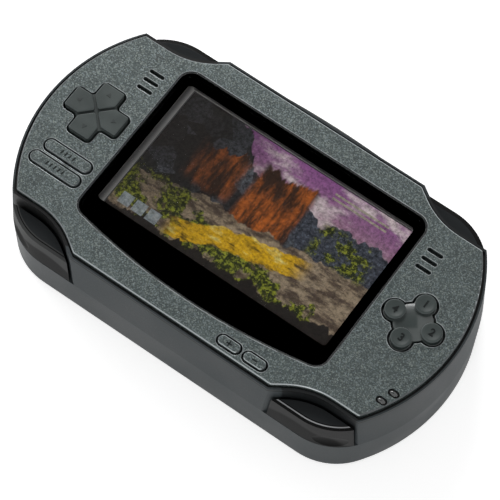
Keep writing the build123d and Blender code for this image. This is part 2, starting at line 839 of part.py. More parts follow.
with BuildPart() as lcd_panel:
    with BuildSketch(face.offset(panel_top - panel_thickness)):
        panel_edge = panel_low + lens_gap
        add(box_sketch(panel_left + lens_gap, panel_right - lens_gap, panel_edge, panel_high - lens_gap))
    extrude(amount=panel_thickness)

lcd_panel.part.label = "lcd_panel"
export_step(lcd_panel.part, "parts/lcd_panel.step")

with BuildPart() as display_ribbon:
    with BuildSketch(face.offset(board_top + connector_height)):
        with Locations((0, panel_low + ribbon_inset)):
            Rectangle(ribbon_width, ribbon_thickness)
    extrude(amount=panel_top - panel_thickness - board_top - connector_height)

display_ribbon.part.label = "display_ribbon"
export_step(display_ribbon.part, "parts/display_ribbon.step")

with BuildPart() as display_connector:
    with BuildSketch(face.offset(board_top)):
        with Locations((0, panel_low + ribbon_inset)):
            Rectangle(ribbon_width + 4 * board_gap, 4 * ribbon_inset / 2)
    extrude(amount=connector_height)
    fillet(display_connector.edges().filter_by(Axis.Z), board_gap)

display_connector.part.label = "display_connector"
export_step(display_connector.part, "parts/display_connector.step")

# Chips: centre, size and height of each package, as shares of the plate's half width
chip_shares = [(-0.44, 0.15, 0.37, 0.37, 0.035), (-0.49, -0.25, 0.17, 0.17, 0.025)]
chip_shares += [(0.15, 0.2, 0.3, 0.22, 0.027), (0.15, -0.12, 0.3, 0.22, 0.027)]
chip_shares += [(0.62, 0.3, 0.22, 0.15, 0.03), (0.69, -0.15, 0.15, 0.2, 0.064)]

with BuildPart() as board_chips:
    for shares in chip_shares:
        x, y, length, width, height = [share * plate_half_width for share in shares]
        with BuildSketch(face.offset(board_top)):
            with Locations((x, y)):
                Rectangle(length, width)
        extrude(amount=height)

board_chips.part.label = "board_chips"
export_step(board_chips.part, "parts/board_chips.step")

# Speakers hang under the deck, their meshes lie between deck and face plate
speaker_shift = 2.2
speaker_depth = 4.0
speaker_neck = 3.2

for s, side in ((-1, "left"), (1, "right")):
    with BuildPart() as speaker:
        with BuildSketch(face.offset(deck_under - speaker_depth)):
            with Locations((s * (speaker_x + speaker_shift), speaker_rows[1])):
                Circle(speaker_radius)
        extrude(amount=speaker_depth)
        fillet(speaker.faces().sort_by(Axis.Z)[0].edges(), window_gap)
        with BuildSketch(face.offset(deck_under)):
            with Locations((s * (speaker_x + speaker_shift), speaker_rows[1])):
                Circle(speaker_radius - frame_wall)
        extrude(amount=-speaker_neck / 2, taper=45, mode=Mode.SUBTRACT)
    speaker.part.label = f"{side}_speaker"
    export_step(speaker.part, f"parts/{side}_speaker.step")
    with BuildPart() as speaker_mesh:
        with BuildSketch(face.offset(deck_top - mesh_thickness)):
            with Locations((s * speaker_x, speaker_rows[1])):
                Rectangle(2 * mesh_half_x, 2 * mesh_half_y)
        extrude(amount=mesh_thickness)
    speaker_mesh.part.label = f"{side}_speaker_mesh"
    export_step(speaker_mesh.part, f"parts/{side}_speaker_mesh.step")

with BuildPart() as indicator_guide:
    with BuildSketch(face.offset(deck_under - guide_bar)):
        with Locations(*indicator_places):
            Circle(indicator_length + indicator_radius)
        add(body_outline(-board_inset), mode=Mode.INTERSECT)
    extrude(amount=guide_bar)
    with BuildSketch(face.offset(deck_under)):
        with Locations(*indicator_places):
            SlotCenterToCenter(indicator_length, 2 * indicator_radius)
    extrude(amount=body_height - deck_under - guide_bar / 6)

indicator_guide.part.label = "indicator_guide"
export_step(indicator_guide.part, "parts/indicator_guide.step")

# Direction pad: a disc under the face plate, four five-sided pads with valleys between
pad_rise = 1.5
web_rise = 0.25
pad_valley = 0.45
pad_margin = 0.15
dpad_pad_round = 0.7
dpad_spread = 6.54
dpad_mark = 0.9
mark_rise = 0.12
edge_soft = 0.35
disc_low = 30.8
disc_high = 32.2
ball_radius = 1.9
ball_z = 30.4
ball_gap = 0.25
socket_radius = 3.4
socket_low = 29.8
prod_radius = 1.5
prod_low = 26.1
post_radius = 2.3
post_top = 29.2
dome_radius = 2.4
dome_height = 3.6
sheet_thickness = 0.8
sheet_radius = 10.4
pad_top = body_height + pad_rise
web_top = body_height + web_rise
pivot_places = [(dpad_x, dpad_y), (action_x, action_y)]


def dpad_pad():
    # from the cross's centre along +X: a point between two valleys, straight sides, flat end
    half = dpad_arm_half - pad_margin
    tip = pad_valley * math.sqrt(2)
    with BuildSketch() as shape:
        with BuildLine():
            Polyline(
                (dpad_reach - pad_margin, half),
                (tip + half, half),
                (tip, 0),
                (tip + half, -half),
                (dpad_reach - pad_margin, -half),
                close=True,
            )
        make_face()
        fillet(shape.vertices(), dpad_pad_round)
    return shape.sketch


with BuildPart() as dpad:
    with BuildSketch(face.offset(disc_high)):
        with Locations((dpad_x, dpad_y)):
            add(dpad_outline(0))
    extrude(amount=web_top - disc_high)
    with BuildSketch(face.offset(web_top)):
        with Locations((dpad_x, dpad_y)):
            with PolarLocations(0, 4):
                add(dpad_pad())
    extrude(amount=pad_top - web_top)
    pad_faces = dpad.faces().filter_by(Axis.Z).filter_by_position(Axis.Z, pad_top, pad_top)
    fillet(pad_faces.edges(), edge_soft)
    with BuildSketch(face.offset(pad_top)):
        with Locations((dpad_x, dpad_y)):
            with PolarLocations(dpad_spread, 4):
                RegularPolygon(dpad_mark, 3)
    extrude(amount=mark_rise)
    with BuildSketch(face.offset(disc_low)):
        with Locations((dpad_x, dpad_y)):
            Circle(disc_radius)
    extrude(amount=disc_high - disc_low)
    with BuildSketch(face.offset(socket_low)):
        with Locations((dpad_x, dpad_y)):
            Circle(socket_radius)
    extrude(amount=disc_low - socket_low)
    with BuildSketch(face.offset(prod_low)):
        with Locations((dpad_x, dpad_y)):
            with PolarLocations(dpad_spread, 4):
                Circle(prod_radius)
    extrude(amount=disc_low - prod_low)
    with Locations((dpad_x, dpad_y + face_shift, ball_z)):
        Sphere(ball_radius + ball_gap, mode=Mode.SUBTRACT)

dpad.part.label = "dpad"
export_step(dpad.part, "parts/dpad.step")

# Action pad: four round pads, each with a rim round its dished top, on a domed web
web_crown = 0.55
web_curve = 34.0
rim_width = 0.75
dish_depth = 0.28
dish_edge = action_pad_radius - pad_margin - rim_width
dish_radius = (dish_edge**2 + dish_depth**2) / (2 * dish_depth)

with BuildPart() as action_pad:
    with BuildSketch(face.offset(disc_high)):
        with Locations((action_x, action_y)):
            add(action_outline(0))
    extrude(amount=pad_top - disc_high)
    with Locations((action_x, action_y + face_shift, body_height + web_crown - web_curve)):
        Sphere(web_curve, mode=Mode.INTERSECT)
    with BuildSketch(face.offset(disc_high)):
        with Locations((action_x, action_y)):
            with PolarLocations(action_spread, 4):
                Circle(action_pad_radius - pad_margin)
    extrude(amount=pad_top - disc_high)
    pad_faces = action_pad.faces().filter_by(Axis.Z).filter_by_position(Axis.Z, pad_top, pad_top)
    fillet(pad_faces.edges(), edge_soft)
    with Locations((action_x, action_y + face_shift, pad_top + dish_radius - dish_depth)):
        with PolarLocations(action_spread, 4):
            Sphere(dish_radius, mode=Mode.SUBTRACT)
    with BuildSketch(face.offset(disc_low)):
        with Locations((action_x, action_y)):
            Circle(disc_radius)
    extrude(amount=disc_high - disc_low)
    with BuildSketch(face.offset(socket_low)):
        with Locations((action_x, action_y)):
            Circle(socket_radius)
    extrude(amount=disc_low - socket_low)
    with BuildSketch(face.offset(prod_low)):
        with Locations((action_x, action_y)):
            with PolarLocations(action_spread, 4):
                Circle(prod_radius)
    extrude(amount=disc_low - prod_low)
    with Locations((action_x, action_y + face_shift, ball_z)):
        Sphere(ball_radius + ball_gap, mode=Mode.SUBTRACT)

action_pad.part.label = "action_pad"
export_step(action_pad.part, "parts/action_pad.step")

for (x, y), name in zip(pivot_places, ("dpad", "action")):
    with BuildPart() as pivot_ball:
        with Locations((x, y + face_shift, ball_z)):
            Sphere(ball_radius)
    pivot_ball.part.label = f"{name}_pivot_ball"
    export_step(pivot_ball.part, f"parts/{name}_pivot_ball.step")
    with BuildPart() as membrane:
        with BuildSketch(face.offset(board_top)):
            with Locations((x, y)):
                Circle(sheet_radius)
                Circle(post_radius + board_gap, mode=Mode.SUBTRACT)
        extrude(amount=sheet_thickness)
        with BuildSketch(face.offset(board_top + sheet_thickness)):
            with Locations((x, y)):
                with PolarLocations(dpad_spread, 4):
                    Circle(dome_radius)
        extrude(amount=dome_height - sheet_thickness, taper=15)
    membrane.part.label = f"{name}_membrane"
    export_step(membrane.part, f"parts/{name}_membrane.step")

with BuildPart() as pivot_posts:
    with BuildSketch(face.offset(board_top)):
        with Locations(*pivot_places):
            Circle(post_radius)
    extrude(amount=post_top - board_top)
    with Locations(*[(x, y + face_shift, ball_z) for x, y in pivot_places]):
        Sphere(ball_radius + ball_gap / 2, mode=Mode.SUBTRACT)

pivot_posts.part.label = "pivot_posts"
export_step(pivot_posts.part, "parts/pivot_posts.step")

# Straight-travel buttons: cap, skirt under the deck and stem over a rubber dome
option_rise = 0.7
small_rise = 0.6
skirt = 0.8
skirt_height = 1.0
skirt_gap = 0.2
stem_low = 26.4
stem_radius = 1.3
cap_round = 0.4
skirt_top = deck_under - skirt_gap
option_names = ["upper_option_button", "lower_option_button"]
small_names = ["left_menu_button", "right_menu_button"]
plungers = [(*row, option_radius, option_rise, name) for row, name in zip(option_rows, option_names)]
for x, name in zip(small_columns, small_names):
    plungers.append((x, small_y, small_length, small_radius, small_rise, name))

for x, y, length, radius, rise, name in plungers:
    with BuildPart() as button:
        with BuildSketch(face.offset(skirt_top)):
            with Locations((x, y)):
                SlotCenterToCenter(length, 2 * radius)
        extrude(amount=body_height + rise - skirt_top)
        fillet(button.faces().sort_by(Axis.Z)[-1].edges(), cap_round)
        with BuildSketch(face.offset(skirt_top - skirt_height)):
            with Locations((x, y)):
                SlotCenterToCenter(length, 2 * (radius + skirt))
        extrude(amount=skirt_height)
        with BuildSketch(face.offset(stem_low)):
            with Locations((x, y)):
                Circle(stem_radius)
        extrude(amount=skirt_top - skirt_height - stem_low)
    button.part.label = name
    export_step(button.part, f"parts/{name}.step")

button_sheets = [([(x, y) for x, y, _ in option_rows], "option")]
button_sheets += [([(x, small_y) for x in small_columns], "menu")]

for places, name in button_sheets:
    middle_x = sum(x for x, _ in places) / 2
    middle_y = sum(y for _, y in places) / 2
    spread_x = abs(places[0][0] - places[1][0])
    spread_y = abs(places[0][1] - places[1][1])
    with BuildPart() as sheet:
        with BuildSketch(face.offset(board_top)):
            with Locations((middle_x, middle_y)):
                Rectangle(spread_x + 2 * dome_radius, spread_y + 2 * dome_radius)
        extrude(amount=sheet_thickness)
        with BuildSketch(face.offset(board_top + sheet_thickness)):
            with Locations(*places):
                Circle(dome_radius - board_gap)
        extrude(amount=dome_height - sheet_thickness, taper=15)
    sheet.part.label = f"{name}_membrane"
    export_step(sheet.part, f"parts/{name}_membrane.step")

# Switches behind the corner buttons, and the pins that these turn on
switch_width = 6.0
switch_depth = 4.2
switch_height = 3.4
switch_tip_radius = 0.9
switch_tip = 0.7
switch_face_y = nub_end_y - switch_tip - nub_travel

with BuildPart() as trigger_switches:
    for sx, sy in quadrants:
        with BuildSketch(face.offset(board_top)):
            with Locations((sx * nub_x, sy * (switch_face_y - switch_depth / 2))):
                Rectangle(switch_width, switch_depth)
        extrude(amount=switch_height)
        with BuildSketch(side_plane(sx * nub_x, sy * switch_face_y, eye_low + nub_height / 2, sy)):
            Circle(switch_tip_radius)
        extrude(amount=switch_tip)

trigger_switches.part.label = "trigger_switches"
export_step(trigger_switches.part, "parts/trigger_switches.step")

with BuildPart() as trigger_pins:
    with BuildSketch(face.offset(pin_low)):
        with Locations(*hinge_places):
            Circle(pin_radius)
    extrude(amount=pin_high - pin_low)

trigger_pins.part.label = "trigger_pins"
export_step(trigger_pins.part, "parts/trigger_pins.step")

# Power switch: body on the board, knob through the far wall
with BuildPart() as power_switch:
    with BuildSketch(face.offset(board_top)):
        with Locations((power_x, power_body_y)):
            Rectangle(power_body_length, power_body_width)
    extrude(amount=power_body_height)

power_switch.part.label = "power_switch"
export_step(power_switch.part, "parts/power_switch.step")

with BuildPart() as power_switch_knob:
    with BuildSketch(side_plane(power_x - power_travel, power_wall_y + knob_stand, power_z, -1)):
        RectangleRounded(knob_length, knob_height, knob_height / 3)
    extrude(amount=knob_depth)
    with BuildSketch(side_plane(power_x - power_travel, power_wall_y + knob_stand, power_z, -1)):
        Rectangle(knob_stem, knob_stem)
    extrude(amount=power_wall_y + knob_stand - power_body_y - power_body_width / 2 - bore_gap)

power_switch_knob.part.label = "power_switch_knob"
export_step(power_switch_knob.part, "parts/power_switch_knob.step")

# Ribbed strip let into the far wall: steps, each lower one further out
with BuildPart() as top_trim_strip:
    for i in range(trim_steps):
        reach = trim_reach - (trim_steps - 1 - i) * trim_step_out
        with BuildSketch(face.offset(trim_low)):
            with BuildLine():
                arc_end = 2 * trim_middle - trim_left
                ThreePointArc((trim_left, trim_wall), (trim_middle, reach), (arc_end, trim_wall))
                Line((arc_end, trim_wall), (arc_end, trim_root))
                Polyline((arc_end, trim_root), (trim_left, trim_root), (trim_left, trim_wall))
            make_face()
            with BuildLine():
                Polyline(
                    (trim_left, trim_root),
                    (trim_right, trim_root),
                    (trim_right, trim_wall),
                    (trim_knee, trim_reach),
                    (trim_left, trim_reach),
                    close=True,
                )
            make_face(mode=Mode.INTERSECT)
        extrude(amount=trim_high - trim_low - i * trim_step_down)

top_trim_strip.part.label = "top_trim_strip"
export_step(top_trim_strip.part, "parts/top_trim_strip.step")
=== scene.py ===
import bpy
import bmesh
import json
import math
from mathutils import Matrix, Vector


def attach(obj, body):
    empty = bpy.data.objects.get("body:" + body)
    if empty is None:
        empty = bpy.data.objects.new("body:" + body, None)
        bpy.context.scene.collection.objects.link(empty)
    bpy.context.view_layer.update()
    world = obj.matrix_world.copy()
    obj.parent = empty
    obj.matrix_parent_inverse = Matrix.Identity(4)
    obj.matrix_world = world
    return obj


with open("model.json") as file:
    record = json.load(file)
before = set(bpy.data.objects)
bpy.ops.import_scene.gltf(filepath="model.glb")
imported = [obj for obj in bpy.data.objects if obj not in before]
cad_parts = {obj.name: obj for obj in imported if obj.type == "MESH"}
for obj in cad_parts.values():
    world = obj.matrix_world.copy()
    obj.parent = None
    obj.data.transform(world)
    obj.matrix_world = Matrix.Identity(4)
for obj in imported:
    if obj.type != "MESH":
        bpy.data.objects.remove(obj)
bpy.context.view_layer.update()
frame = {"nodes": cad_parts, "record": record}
nodes = frame["nodes"]
print("frame loaded:", len(nodes), "nodes")

mm = 0.001
faceShift = -0.55  # the face's centre lies this far in front of the origin, in mm

scene = bpy.context.scene
scene.view_settings.view_transform = "Standard"

# camera, fitted to the face plate's corners in the photograph: metres, degrees, and mm for lens and sensor
cameraSettings = {
    "place": (0.19209, -0.29140, 0.76350), "turn": (24.9188, -1.0091, 35.4911), "lens": 189.71, "sensor": 36,
}
cameraData = bpy.data.cameras.new("photoCamera")
cameraData.lens = cameraSettings["lens"]
cameraData.sensor_fit = "HORIZONTAL"
cameraData.sensor_width = cameraSettings["sensor"]
camera = bpy.data.objects.new("photoCamera", cameraData)
camera.location = cameraSettings["place"]
camera.rotation_euler = [math.radians(a) for a in cameraSettings["turn"]]
scene.collection.objects.link(camera)
scene.camera = camera
print("camera placed")


# short helpers for the shader trees
def setInput(tree, socket, value):
    # an output is linked, and a number or colour becomes the input's own value
    if isinstance(value, bpy.types.NodeSocket):
        tree.links.new(value, socket)
    else:
        socket.default_value = value


def addNode(tree, kind, inputs=None, **fields):
    node = tree.nodes.new(kind)
    for key, value in fields.items():
        setattr(node, key, value)
    for key, value in (inputs or {}).items():
        setInput(tree, node.inputs[key], value)
    return node


def feed(tree, node, **outputs):
    for label, output in outputs.items():
        tree.links.new(output, node.inputs[label.replace("_", " ")])


def calc(tree, operation, a, b=0.0, clamp=False):
    return addNode(tree, "ShaderNodeMath", {0: a, 1: b}, operation=operation, use_clamp=clamp).outputs[0]


def shifted(tree, base, mask, amount):
    # base, moved by the amount where the mask is 1
    return calc(tree, "ADD", base, calc(tree, "MULTIPLY", mask, amount))


def step(tree, value, low, high):
    # 0 below low, 1 above high, smooth between; low may be the larger
    fields = {"Value": value, "From Min": low, "From Max": high}
    return addNode(tree, "ShaderNodeMapRange", fields, interpolation_type="SMOOTHSTEP").outputs[0]


def blendColour(tree, factor, first, second, blend="MIX"):
    node = addNode(tree, "ShaderNodeMix", data_type="RGBA", blend_type=blend)
    for index, value in ((0, factor), (6, first), (7, second)):
        setInput(tree, node.inputs[index], (*value, 1.0) if isinstance(value, tuple) else value)
    return node.outputs[2]


def objectPoint(tree, scale=(1, 1, 1), shift=(0, 0, 0)):
    coordinates = addNode(tree, "ShaderNodeTexCoord")
    fields = {"Vector": coordinates.outputs["Object"], "Scale": scale, "Location": shift}
    return addNode(tree, "ShaderNodeMapping", fields).outputs[0]


def axesOf(tree, kind="Object"):
    coordinates = addNode(tree, "ShaderNodeTexCoord")
    return addNode(tree, "ShaderNodeSeparateXYZ", {"Vector": coordinates.outputs[kind]}).outputs[:3]


def noiseOf(tree, point, scale, detail, rough=0.5):
    fields = {"Vector": point, "Scale": scale, "Detail": detail, "Roughness": rough}
    return addNode(tree, "ShaderNodeTexNoise", fields).outputs["Fac"]


reliefDepth = 0.0002  # depth of every grain and weave, in metres


def bumpOf(tree, height, strength):
    fields = {"Strength": strength, "Distance": reliefDepth, "Height": height}
    return addNode(tree, "ShaderNodeBump", fields).outputs[0]


sideBlend = 0.005  # half width of the blend between left and right and between near and far, in metres


def negativeSide(tree, axis):
    return step(tree, axis, sideBlend, -sideBlend)


def newGroup(name, inputs, outputs):
    group = bpy.data.node_groups.new(name, "ShaderNodeTree")
    for label, value in inputs.items():
        group.interface.new_socket(label, in_out="INPUT", socket_type="NodeSocketFloat").default_value = value
    for label in outputs:
        kind = "NodeSocketVector" if label == "normal" else "NodeSocketFloat"
        group.interface.new_socket(label, in_out="OUTPUT", socket_type=kind)
    return group, addNode(group, "NodeGroupInput"), addNode(group, "NodeGroupOutput")


def useGroup(tree, group, **values):
    return addNode(tree, "ShaderNodeGroup", values, node_tree=group)


flakeValues = {
    "sockets": {"size": 0.4, "bump": 0.2}, "contrast": 2.6,
    "mottleScale": 190.0, "mottleDetail": 3.0, "mottleRough": 0.6, "mottle": (0.3, 0.72),
    "fineScale": 1900.0, "fineDetail": 2.0,
}


def makeFlakeGroup():
    # metallic paint: bright flakes with a tint each, a slow mottle and a fine relief; size in mm
    values = flakeValues
    group, start, end = newGroup("paintFlake", values["sockets"], ("flake", "tint", "mottle", "normal"))
    point = objectPoint(group)
    scale = calc(group, "DIVIDE", 1 / mm, start.outputs["size"])
    cells = addNode(group, "ShaderNodeTexVoronoi", {"Vector": point, "Scale": scale}, feature="F1")
    flake, tint = addNode(group, "ShaderNodeSeparateColor", {"Color": cells.outputs["Color"]}).outputs[:2]
    flake = calc(group, "POWER", flake, values["contrast"])
    slow = noiseOf(group, point, values["mottleScale"], values["mottleDetail"], values["mottleRough"])
    fine = noiseOf(group, point, values["fineScale"], values["fineDetail"])
    mottle = step(group, slow, *values["mottle"])
    feed(group, end, flake=flake, tint=tint, mottle=mottle, normal=bumpOf(group, fine, start.outputs["bump"]))
    return group


grainValues = {
    "sockets": {"grain": 2400.0, "bump": 0.15, "marks": 60.0},
    "grainDetail": 3.0, "marksDetail": 4.0, "marks": (0.35, 0.7),
}


def makeGrainGroup():
    # moulded plastic: spark-eroded grain for the relief, faint handling marks for the gloss
    values = grainValues
    group, start, end = newGroup("plasticGrain", values["sockets"], ("grain", "marks", "normal"))
    point = objectPoint(group)
    fine = noiseOf(group, point, start.outputs["grain"], values["grainDetail"])
    slow = noiseOf(group, point, start.outputs["marks"], values["marksDetail"])
    marks = step(group, slow, *values["marks"])
    feed(group, end, grain=fine, marks=marks, normal=bumpOf(group, fine, start.outputs["bump"]))
    return group


edgeValues = {
    "sockets": {"low": 0.25, "high": 0.93}, "rise": 0.2, "fall": 0.05, "facing": (0.6, 0.85), "leastFlat": 0.05,
}


def makeEdgeGroup():
    # edge: 1 on rounded upper edges, where the surface's upward lean lies between low and high
    # facing: 1 where the edge looks to the near or far side, 0 where it looks to an end
    values = edgeValues
    group, start, end = newGroup("roundedEdge", values["sockets"], ("edge", "facing"))
    forward, lean = axesOf(group, "Normal")[1:]
    flat = calc(group, "SQRT", calc(group, "SUBTRACT", 1.0, calc(group, "POWER", lean, 2.0), clamp=True))
    flat = calc(group, "MAXIMUM", flat, values["leastFlat"])
    facing = step(group, calc(group, "DIVIDE", calc(group, "ABSOLUTE", forward), flat), *values["facing"])
    low, high = start.outputs["low"], start.outputs["high"]
    rising = step(group, lean, low, calc(group, "ADD", low, values["rise"]))
    falling = step(group, lean, calc(group, "ADD", high, values["fall"]), high)
    feed(group, end, edge=calc(group, "MULTIPLY", rising, falling), facing=facing)
    return group


flakeGroup = makeFlakeGroup()
grainGroup = makeGrainGroup()
edgeGroup = makeEdgeGroup()
print("shader groups made")


def newMaterial(name, **plain):
    material = bpy.data.materials.new(name)
    material.use_nodes = True
    tree = material.node_tree
    shader = tree.nodes["Principled BSDF"]
    for label, value in plain.items():
        value = (*value, 1.0) if isinstance(value, tuple) else value
        shader.inputs[label.replace("_", " ")].default_value = value
    return material, tree, shader


# gunmetal paint of the face plate and its buttons, with painted highlights on its rounded edges and painted glints on
# its rims
paintLook = {
    "dark": (0.020, 0.028, 0.028), "base": (0.041, 0.057, 0.056), "baseShare": 0.35,
    "coolFlake": (0.19, 0.235, 0.25), "warmFlake": (0.21, 0.24, 0.215), "flakeSize": 0.34, "bump": 0.25,
    "edge": (0.42, 0.46, 0.47), "endEdge": (0.09, 0.10, 0.105), "edgeLean": {"low": 0.2, "high": 0.93},
    "leastEdgeHighlight": 0.35, "edgeHighlightFrom": (-0.040, -0.036),
    "rough": 0.52, "flakeGloss": 0.2, "edgeGloss": 0.25,
    "rim": (0.50, 0.54, 0.55), "rimPatch": 150.0, "rimDetail": 3.0, "rimGlint": (0.28, 0.52), "rimLeastGlint": 0.3,
    "rimRough": 0.45, "rimGloss": 0.2,
}


def makePaint():
    look = paintLook
    material, tree, shader = newMaterial("gunmetalPaint", Metallic=0.35, Coat_Weight=0.15, Coat_Roughness=0.25)
    flakes = useGroup(tree, flakeGroup, size=look["flakeSize"], bump=look["bump"]).outputs
    edge = useGroup(tree, edgeGroup, **look["edgeLean"]).outputs
    ground = blendColour(tree, flakes["mottle"], look["dark"], look["base"])
    ground = blendColour(tree, look["baseShare"], ground, look["base"])
    speck = blendColour(tree, flakes["tint"], look["coolFlake"], look["warmFlake"])
    colour = blendColour(tree, flakes["flake"], ground, speck)
    # painted highlight on the rounded edges, weaker on the left end's edges and where an edge looks to an end
    notLeft = step(tree, axesOf(tree)[0], *look["edgeHighlightFrom"])
    paintedLight = shifted(tree, look["leastEdgeHighlight"], notLeft, 1 - look["leastEdgeHighlight"])
    paintedLight = calc(tree, "MULTIPLY", paintedLight, edge["facing"])
    edgeTone = blendColour(tree, paintedLight, look["endEdge"], look["edge"])
    colour = blendColour(tree, edge["edge"], colour, edgeTone)
    rough = shifted(tree, look["rough"], flakes["flake"], -look["flakeGloss"])
    rough = shifted(tree, rough, edge["edge"], -look["edgeGloss"])
    feed(tree, shader, Base_Color=colour, Roughness=rough, Normal=flakes["normal"])
    return material


def makeRim():
    # painted glints on the rims of the openings: the rim tone is bright in stretches, most where a rim looks to the
    # near or far side; the bead's round also catches the lamps
    look = paintLook
    material, tree, shader = newMaterial("openingRim", Metallic=0.3)
    facing = useGroup(tree, edgeGroup).outputs["facing"]
    patch = step(tree, noiseOf(tree, objectPoint(tree), look["rimPatch"], look["rimDetail"]), *look["rimGlint"])
    paintedLight = shifted(tree, look["rimLeastGlint"], facing, 1 - look["rimLeastGlint"])
    paintedLight = calc(tree, "MULTIPLY", patch, paintedLight)
    colour = blendColour(tree, paintedLight, look["endEdge"], look["rim"])
    feed(tree, shader, Base_Color=colour, Roughness=shifted(tree, look["rimRough"], paintedLight, -look["rimGloss"]))
    return material


# satin plastic of the shells, with painted shade in the groove and the corner pockets and painted light on the lower
# shell; limits in metres, and the centre of the outer corner's arc in mm
housingLook = {
    "low": (0.030, 0.037, 0.040), "high": (0.048, 0.057, 0.061), "rough": 0.46, "marksRough": 0.12,
    "grain": {"grain": 2600.0, "bump": 0.12, "marks": 45.0},
    "speck": (0.09, 0.098, 0.105), "speckShare": 0.25, "speckRange": (0.45, 0.75),
    "paintedLight": (0.12, 0.12, 0.12), "paintedLightShare": 0.08,
    "groove": (0.002, 0.002, 0.002), "grooveFloor": (0.0336, 0.0337), "grooveTop": (0.0345, 0.0340),
    "corner": (48.9, 21.3), "pocketReach": (0.0204, 0.0199), "pocketFrom": (0.0316, 0.0320),
    "pocketShade": 0.82, "leftShade": 0.15,
}


def makeHousing(name, upper):
    look = housingLook
    material, tree, shader = newMaterial(name, Specular_IOR_Level=0.2)
    grain = useGroup(tree, grainGroup, **look["grain"]).outputs
    colour = blendColour(tree, grain["marks"], look["low"], look["high"])
    speck = calc(tree, "MULTIPLY", step(tree, grain["grain"], *look["speckRange"]), look["speckShare"])
    colour = blendColour(tree, speck, colour, look["speck"])
    if upper:
        # the floor of the groove round the face plate and the walls of the corner pockets lie in deep shade
        across, along, height = axesOf(tree)
        rising = step(tree, height, *look["grooveFloor"])
        floor = calc(tree, "MULTIPLY", rising, step(tree, height, *look["grooveTop"]), clamp=True)
        depth = shifted(tree, look["pocketShade"], negativeSide(tree, across), look["leftShade"])
        across = calc(tree, "ABSOLUTE", across)
        along = calc(tree, "ABSOLUTE", calc(tree, "SUBTRACT", along, faceShift * mm))
        # the outer corner is an arc about this centre, and the pocket lies inside it
        squares = [
            calc(tree, "POWER", calc(tree, "SUBTRACT", place, centre * mm), 2.0)
            for place, centre in zip((across, along), look["corner"])
        ]
        reach = calc(tree, "SQRT", calc(tree, "ADD", *squares))
        inside = step(tree, reach, *look["pocketReach"])
        pocket = calc(tree, "MULTIPLY", inside, step(tree, along, *look["pocketFrom"]))
        colour = blendColour(tree, calc(tree, "MULTIPLY", pocket, depth), colour, look["groove"])
        colour = blendColour(tree, floor, colour, look["groove"])
    else:
        # painted light: the lower shell is blended a little towards a lighter grey than the upper one, as light falls
        # on it
        colour = blendColour(tree, look["paintedLightShare"], colour, look["paintedLight"])
    rough = shifted(tree, look["rough"], grain["marks"], look["marksRough"])
    feed(tree, shader, Base_Color=colour, Roughness=rough, Normal=grain["normal"])
    return material


# smoky corner buttons: glossy top and softer side, with painted shade and light: a painted shaded zone low on the
# side, a painted lit side and bevel on the near left button, a painted dark bevel elsewhere and a painted highlight
# line on the near right one; places in metres
triggerLook = {
    "top": (0.033, 0.036, 0.038), "band": (0.004, 0.004, 0.004), "line": (0.46, 0.47, 0.48),
    "side": (0.040, 0.040, 0.040), "paintedShadeZone": (0.006, 0.006, 0.006), "light": (0.062, 0.064, 0.064),
    "grain": {"grain": 1800.0, "bump": 0.06, "marks": 70.0},
    "zoneX": 0.0475, "zoneLength": 0.0115, "zoneHigh": 0.0262, "zoneDrop": 0.004, "zoneBlend": (-0.0006, 0.0016),
    "lightFade": (0.6, 0.0), "lineLow": (0.02973, 0.02976), "lineHigh": (0.02989, 0.02986),
    "bevelLean": (0.25, 0.6), "bevelEnd": (0.96, 0.935), "topLean": (0.985, 0.998),
    "rough": 0.5, "topGloss": 0.32, "glossLean": (0.3, 0.9), "bevelRough": 0.35, "marksRough": 0.06,
}


def makeTrigger():
    look = triggerLook
    material, tree, shader = newMaterial("smokyPlastic", Specular_IOR_Level=0.07)
    grain = useGroup(tree, grainGroup, **look["grain"]).outputs
    lean = axesOf(tree, "Normal")[2]
    across, along, height = axesOf(tree)
    near = negativeSide(tree, along)
    left = calc(tree, "MULTIPLY", negativeSide(tree, across), near)
    right = calc(tree, "MULTIPLY", step(tree, across, -sideBlend, sideBlend), near)
    # a painted shaded zone lies low on the side, off the middle, under a crest that falls to both ends
    offset = calc(tree, "SUBTRACT", calc(tree, "ABSOLUTE", across), look["zoneX"])
    offset = calc(tree, "POWER", calc(tree, "DIVIDE", offset, look["zoneLength"]), 2.0)
    crest = shifted(tree, look["zoneHigh"], offset, -look["zoneDrop"])
    paintedShadeZone = step(tree, calc(tree, "SUBTRACT", crest, height), *look["zoneBlend"])
    side = blendColour(tree, paintedShadeZone, look["side"], look["paintedShadeZone"])
    # painted light: above the zone the near left button's side is lighter
    lit = calc(tree, "MULTIPLY", left, step(tree, paintedShadeZone, *look["lightFade"]))
    side = blendColour(tree, lit, side, look["light"])
    # a narrow bevel runs between the side and the top, painted dark as shade and painted lit on the near left button,
    # with a thin painted highlight line on its upper edge on the near right button
    bevel = step(tree, lean, *look["bevelLean"])
    colour = blendColour(tree, bevel, side, blendColour(tree, left, look["band"], look["light"]))
    line = calc(tree, "MULTIPLY", step(tree, height, *look["lineLow"]), step(tree, height, *look["lineHigh"]))
    line = calc(tree, "MULTIPLY", line, bevel)
    colour = blendColour(tree, line, colour, blendColour(tree, right, look["band"], look["line"]))
    colour = blendColour(tree, step(tree, lean, *look["topLean"]), colour, look["top"])
    rough = shifted(tree, look["rough"], step(tree, lean, *look["glossLean"]), -look["topGloss"])
    bevel = calc(tree, "MULTIPLY", bevel, step(tree, lean, *look["bevelEnd"]))
    rough = shifted(tree, rough, bevel, look["bevelRough"])
    rough = shifted(tree, rough, grain["marks"], look["marksRough"])
    feed(tree, shader, Base_Color=colour, Roughness=rough, Normal=grain["normal"])
    return material


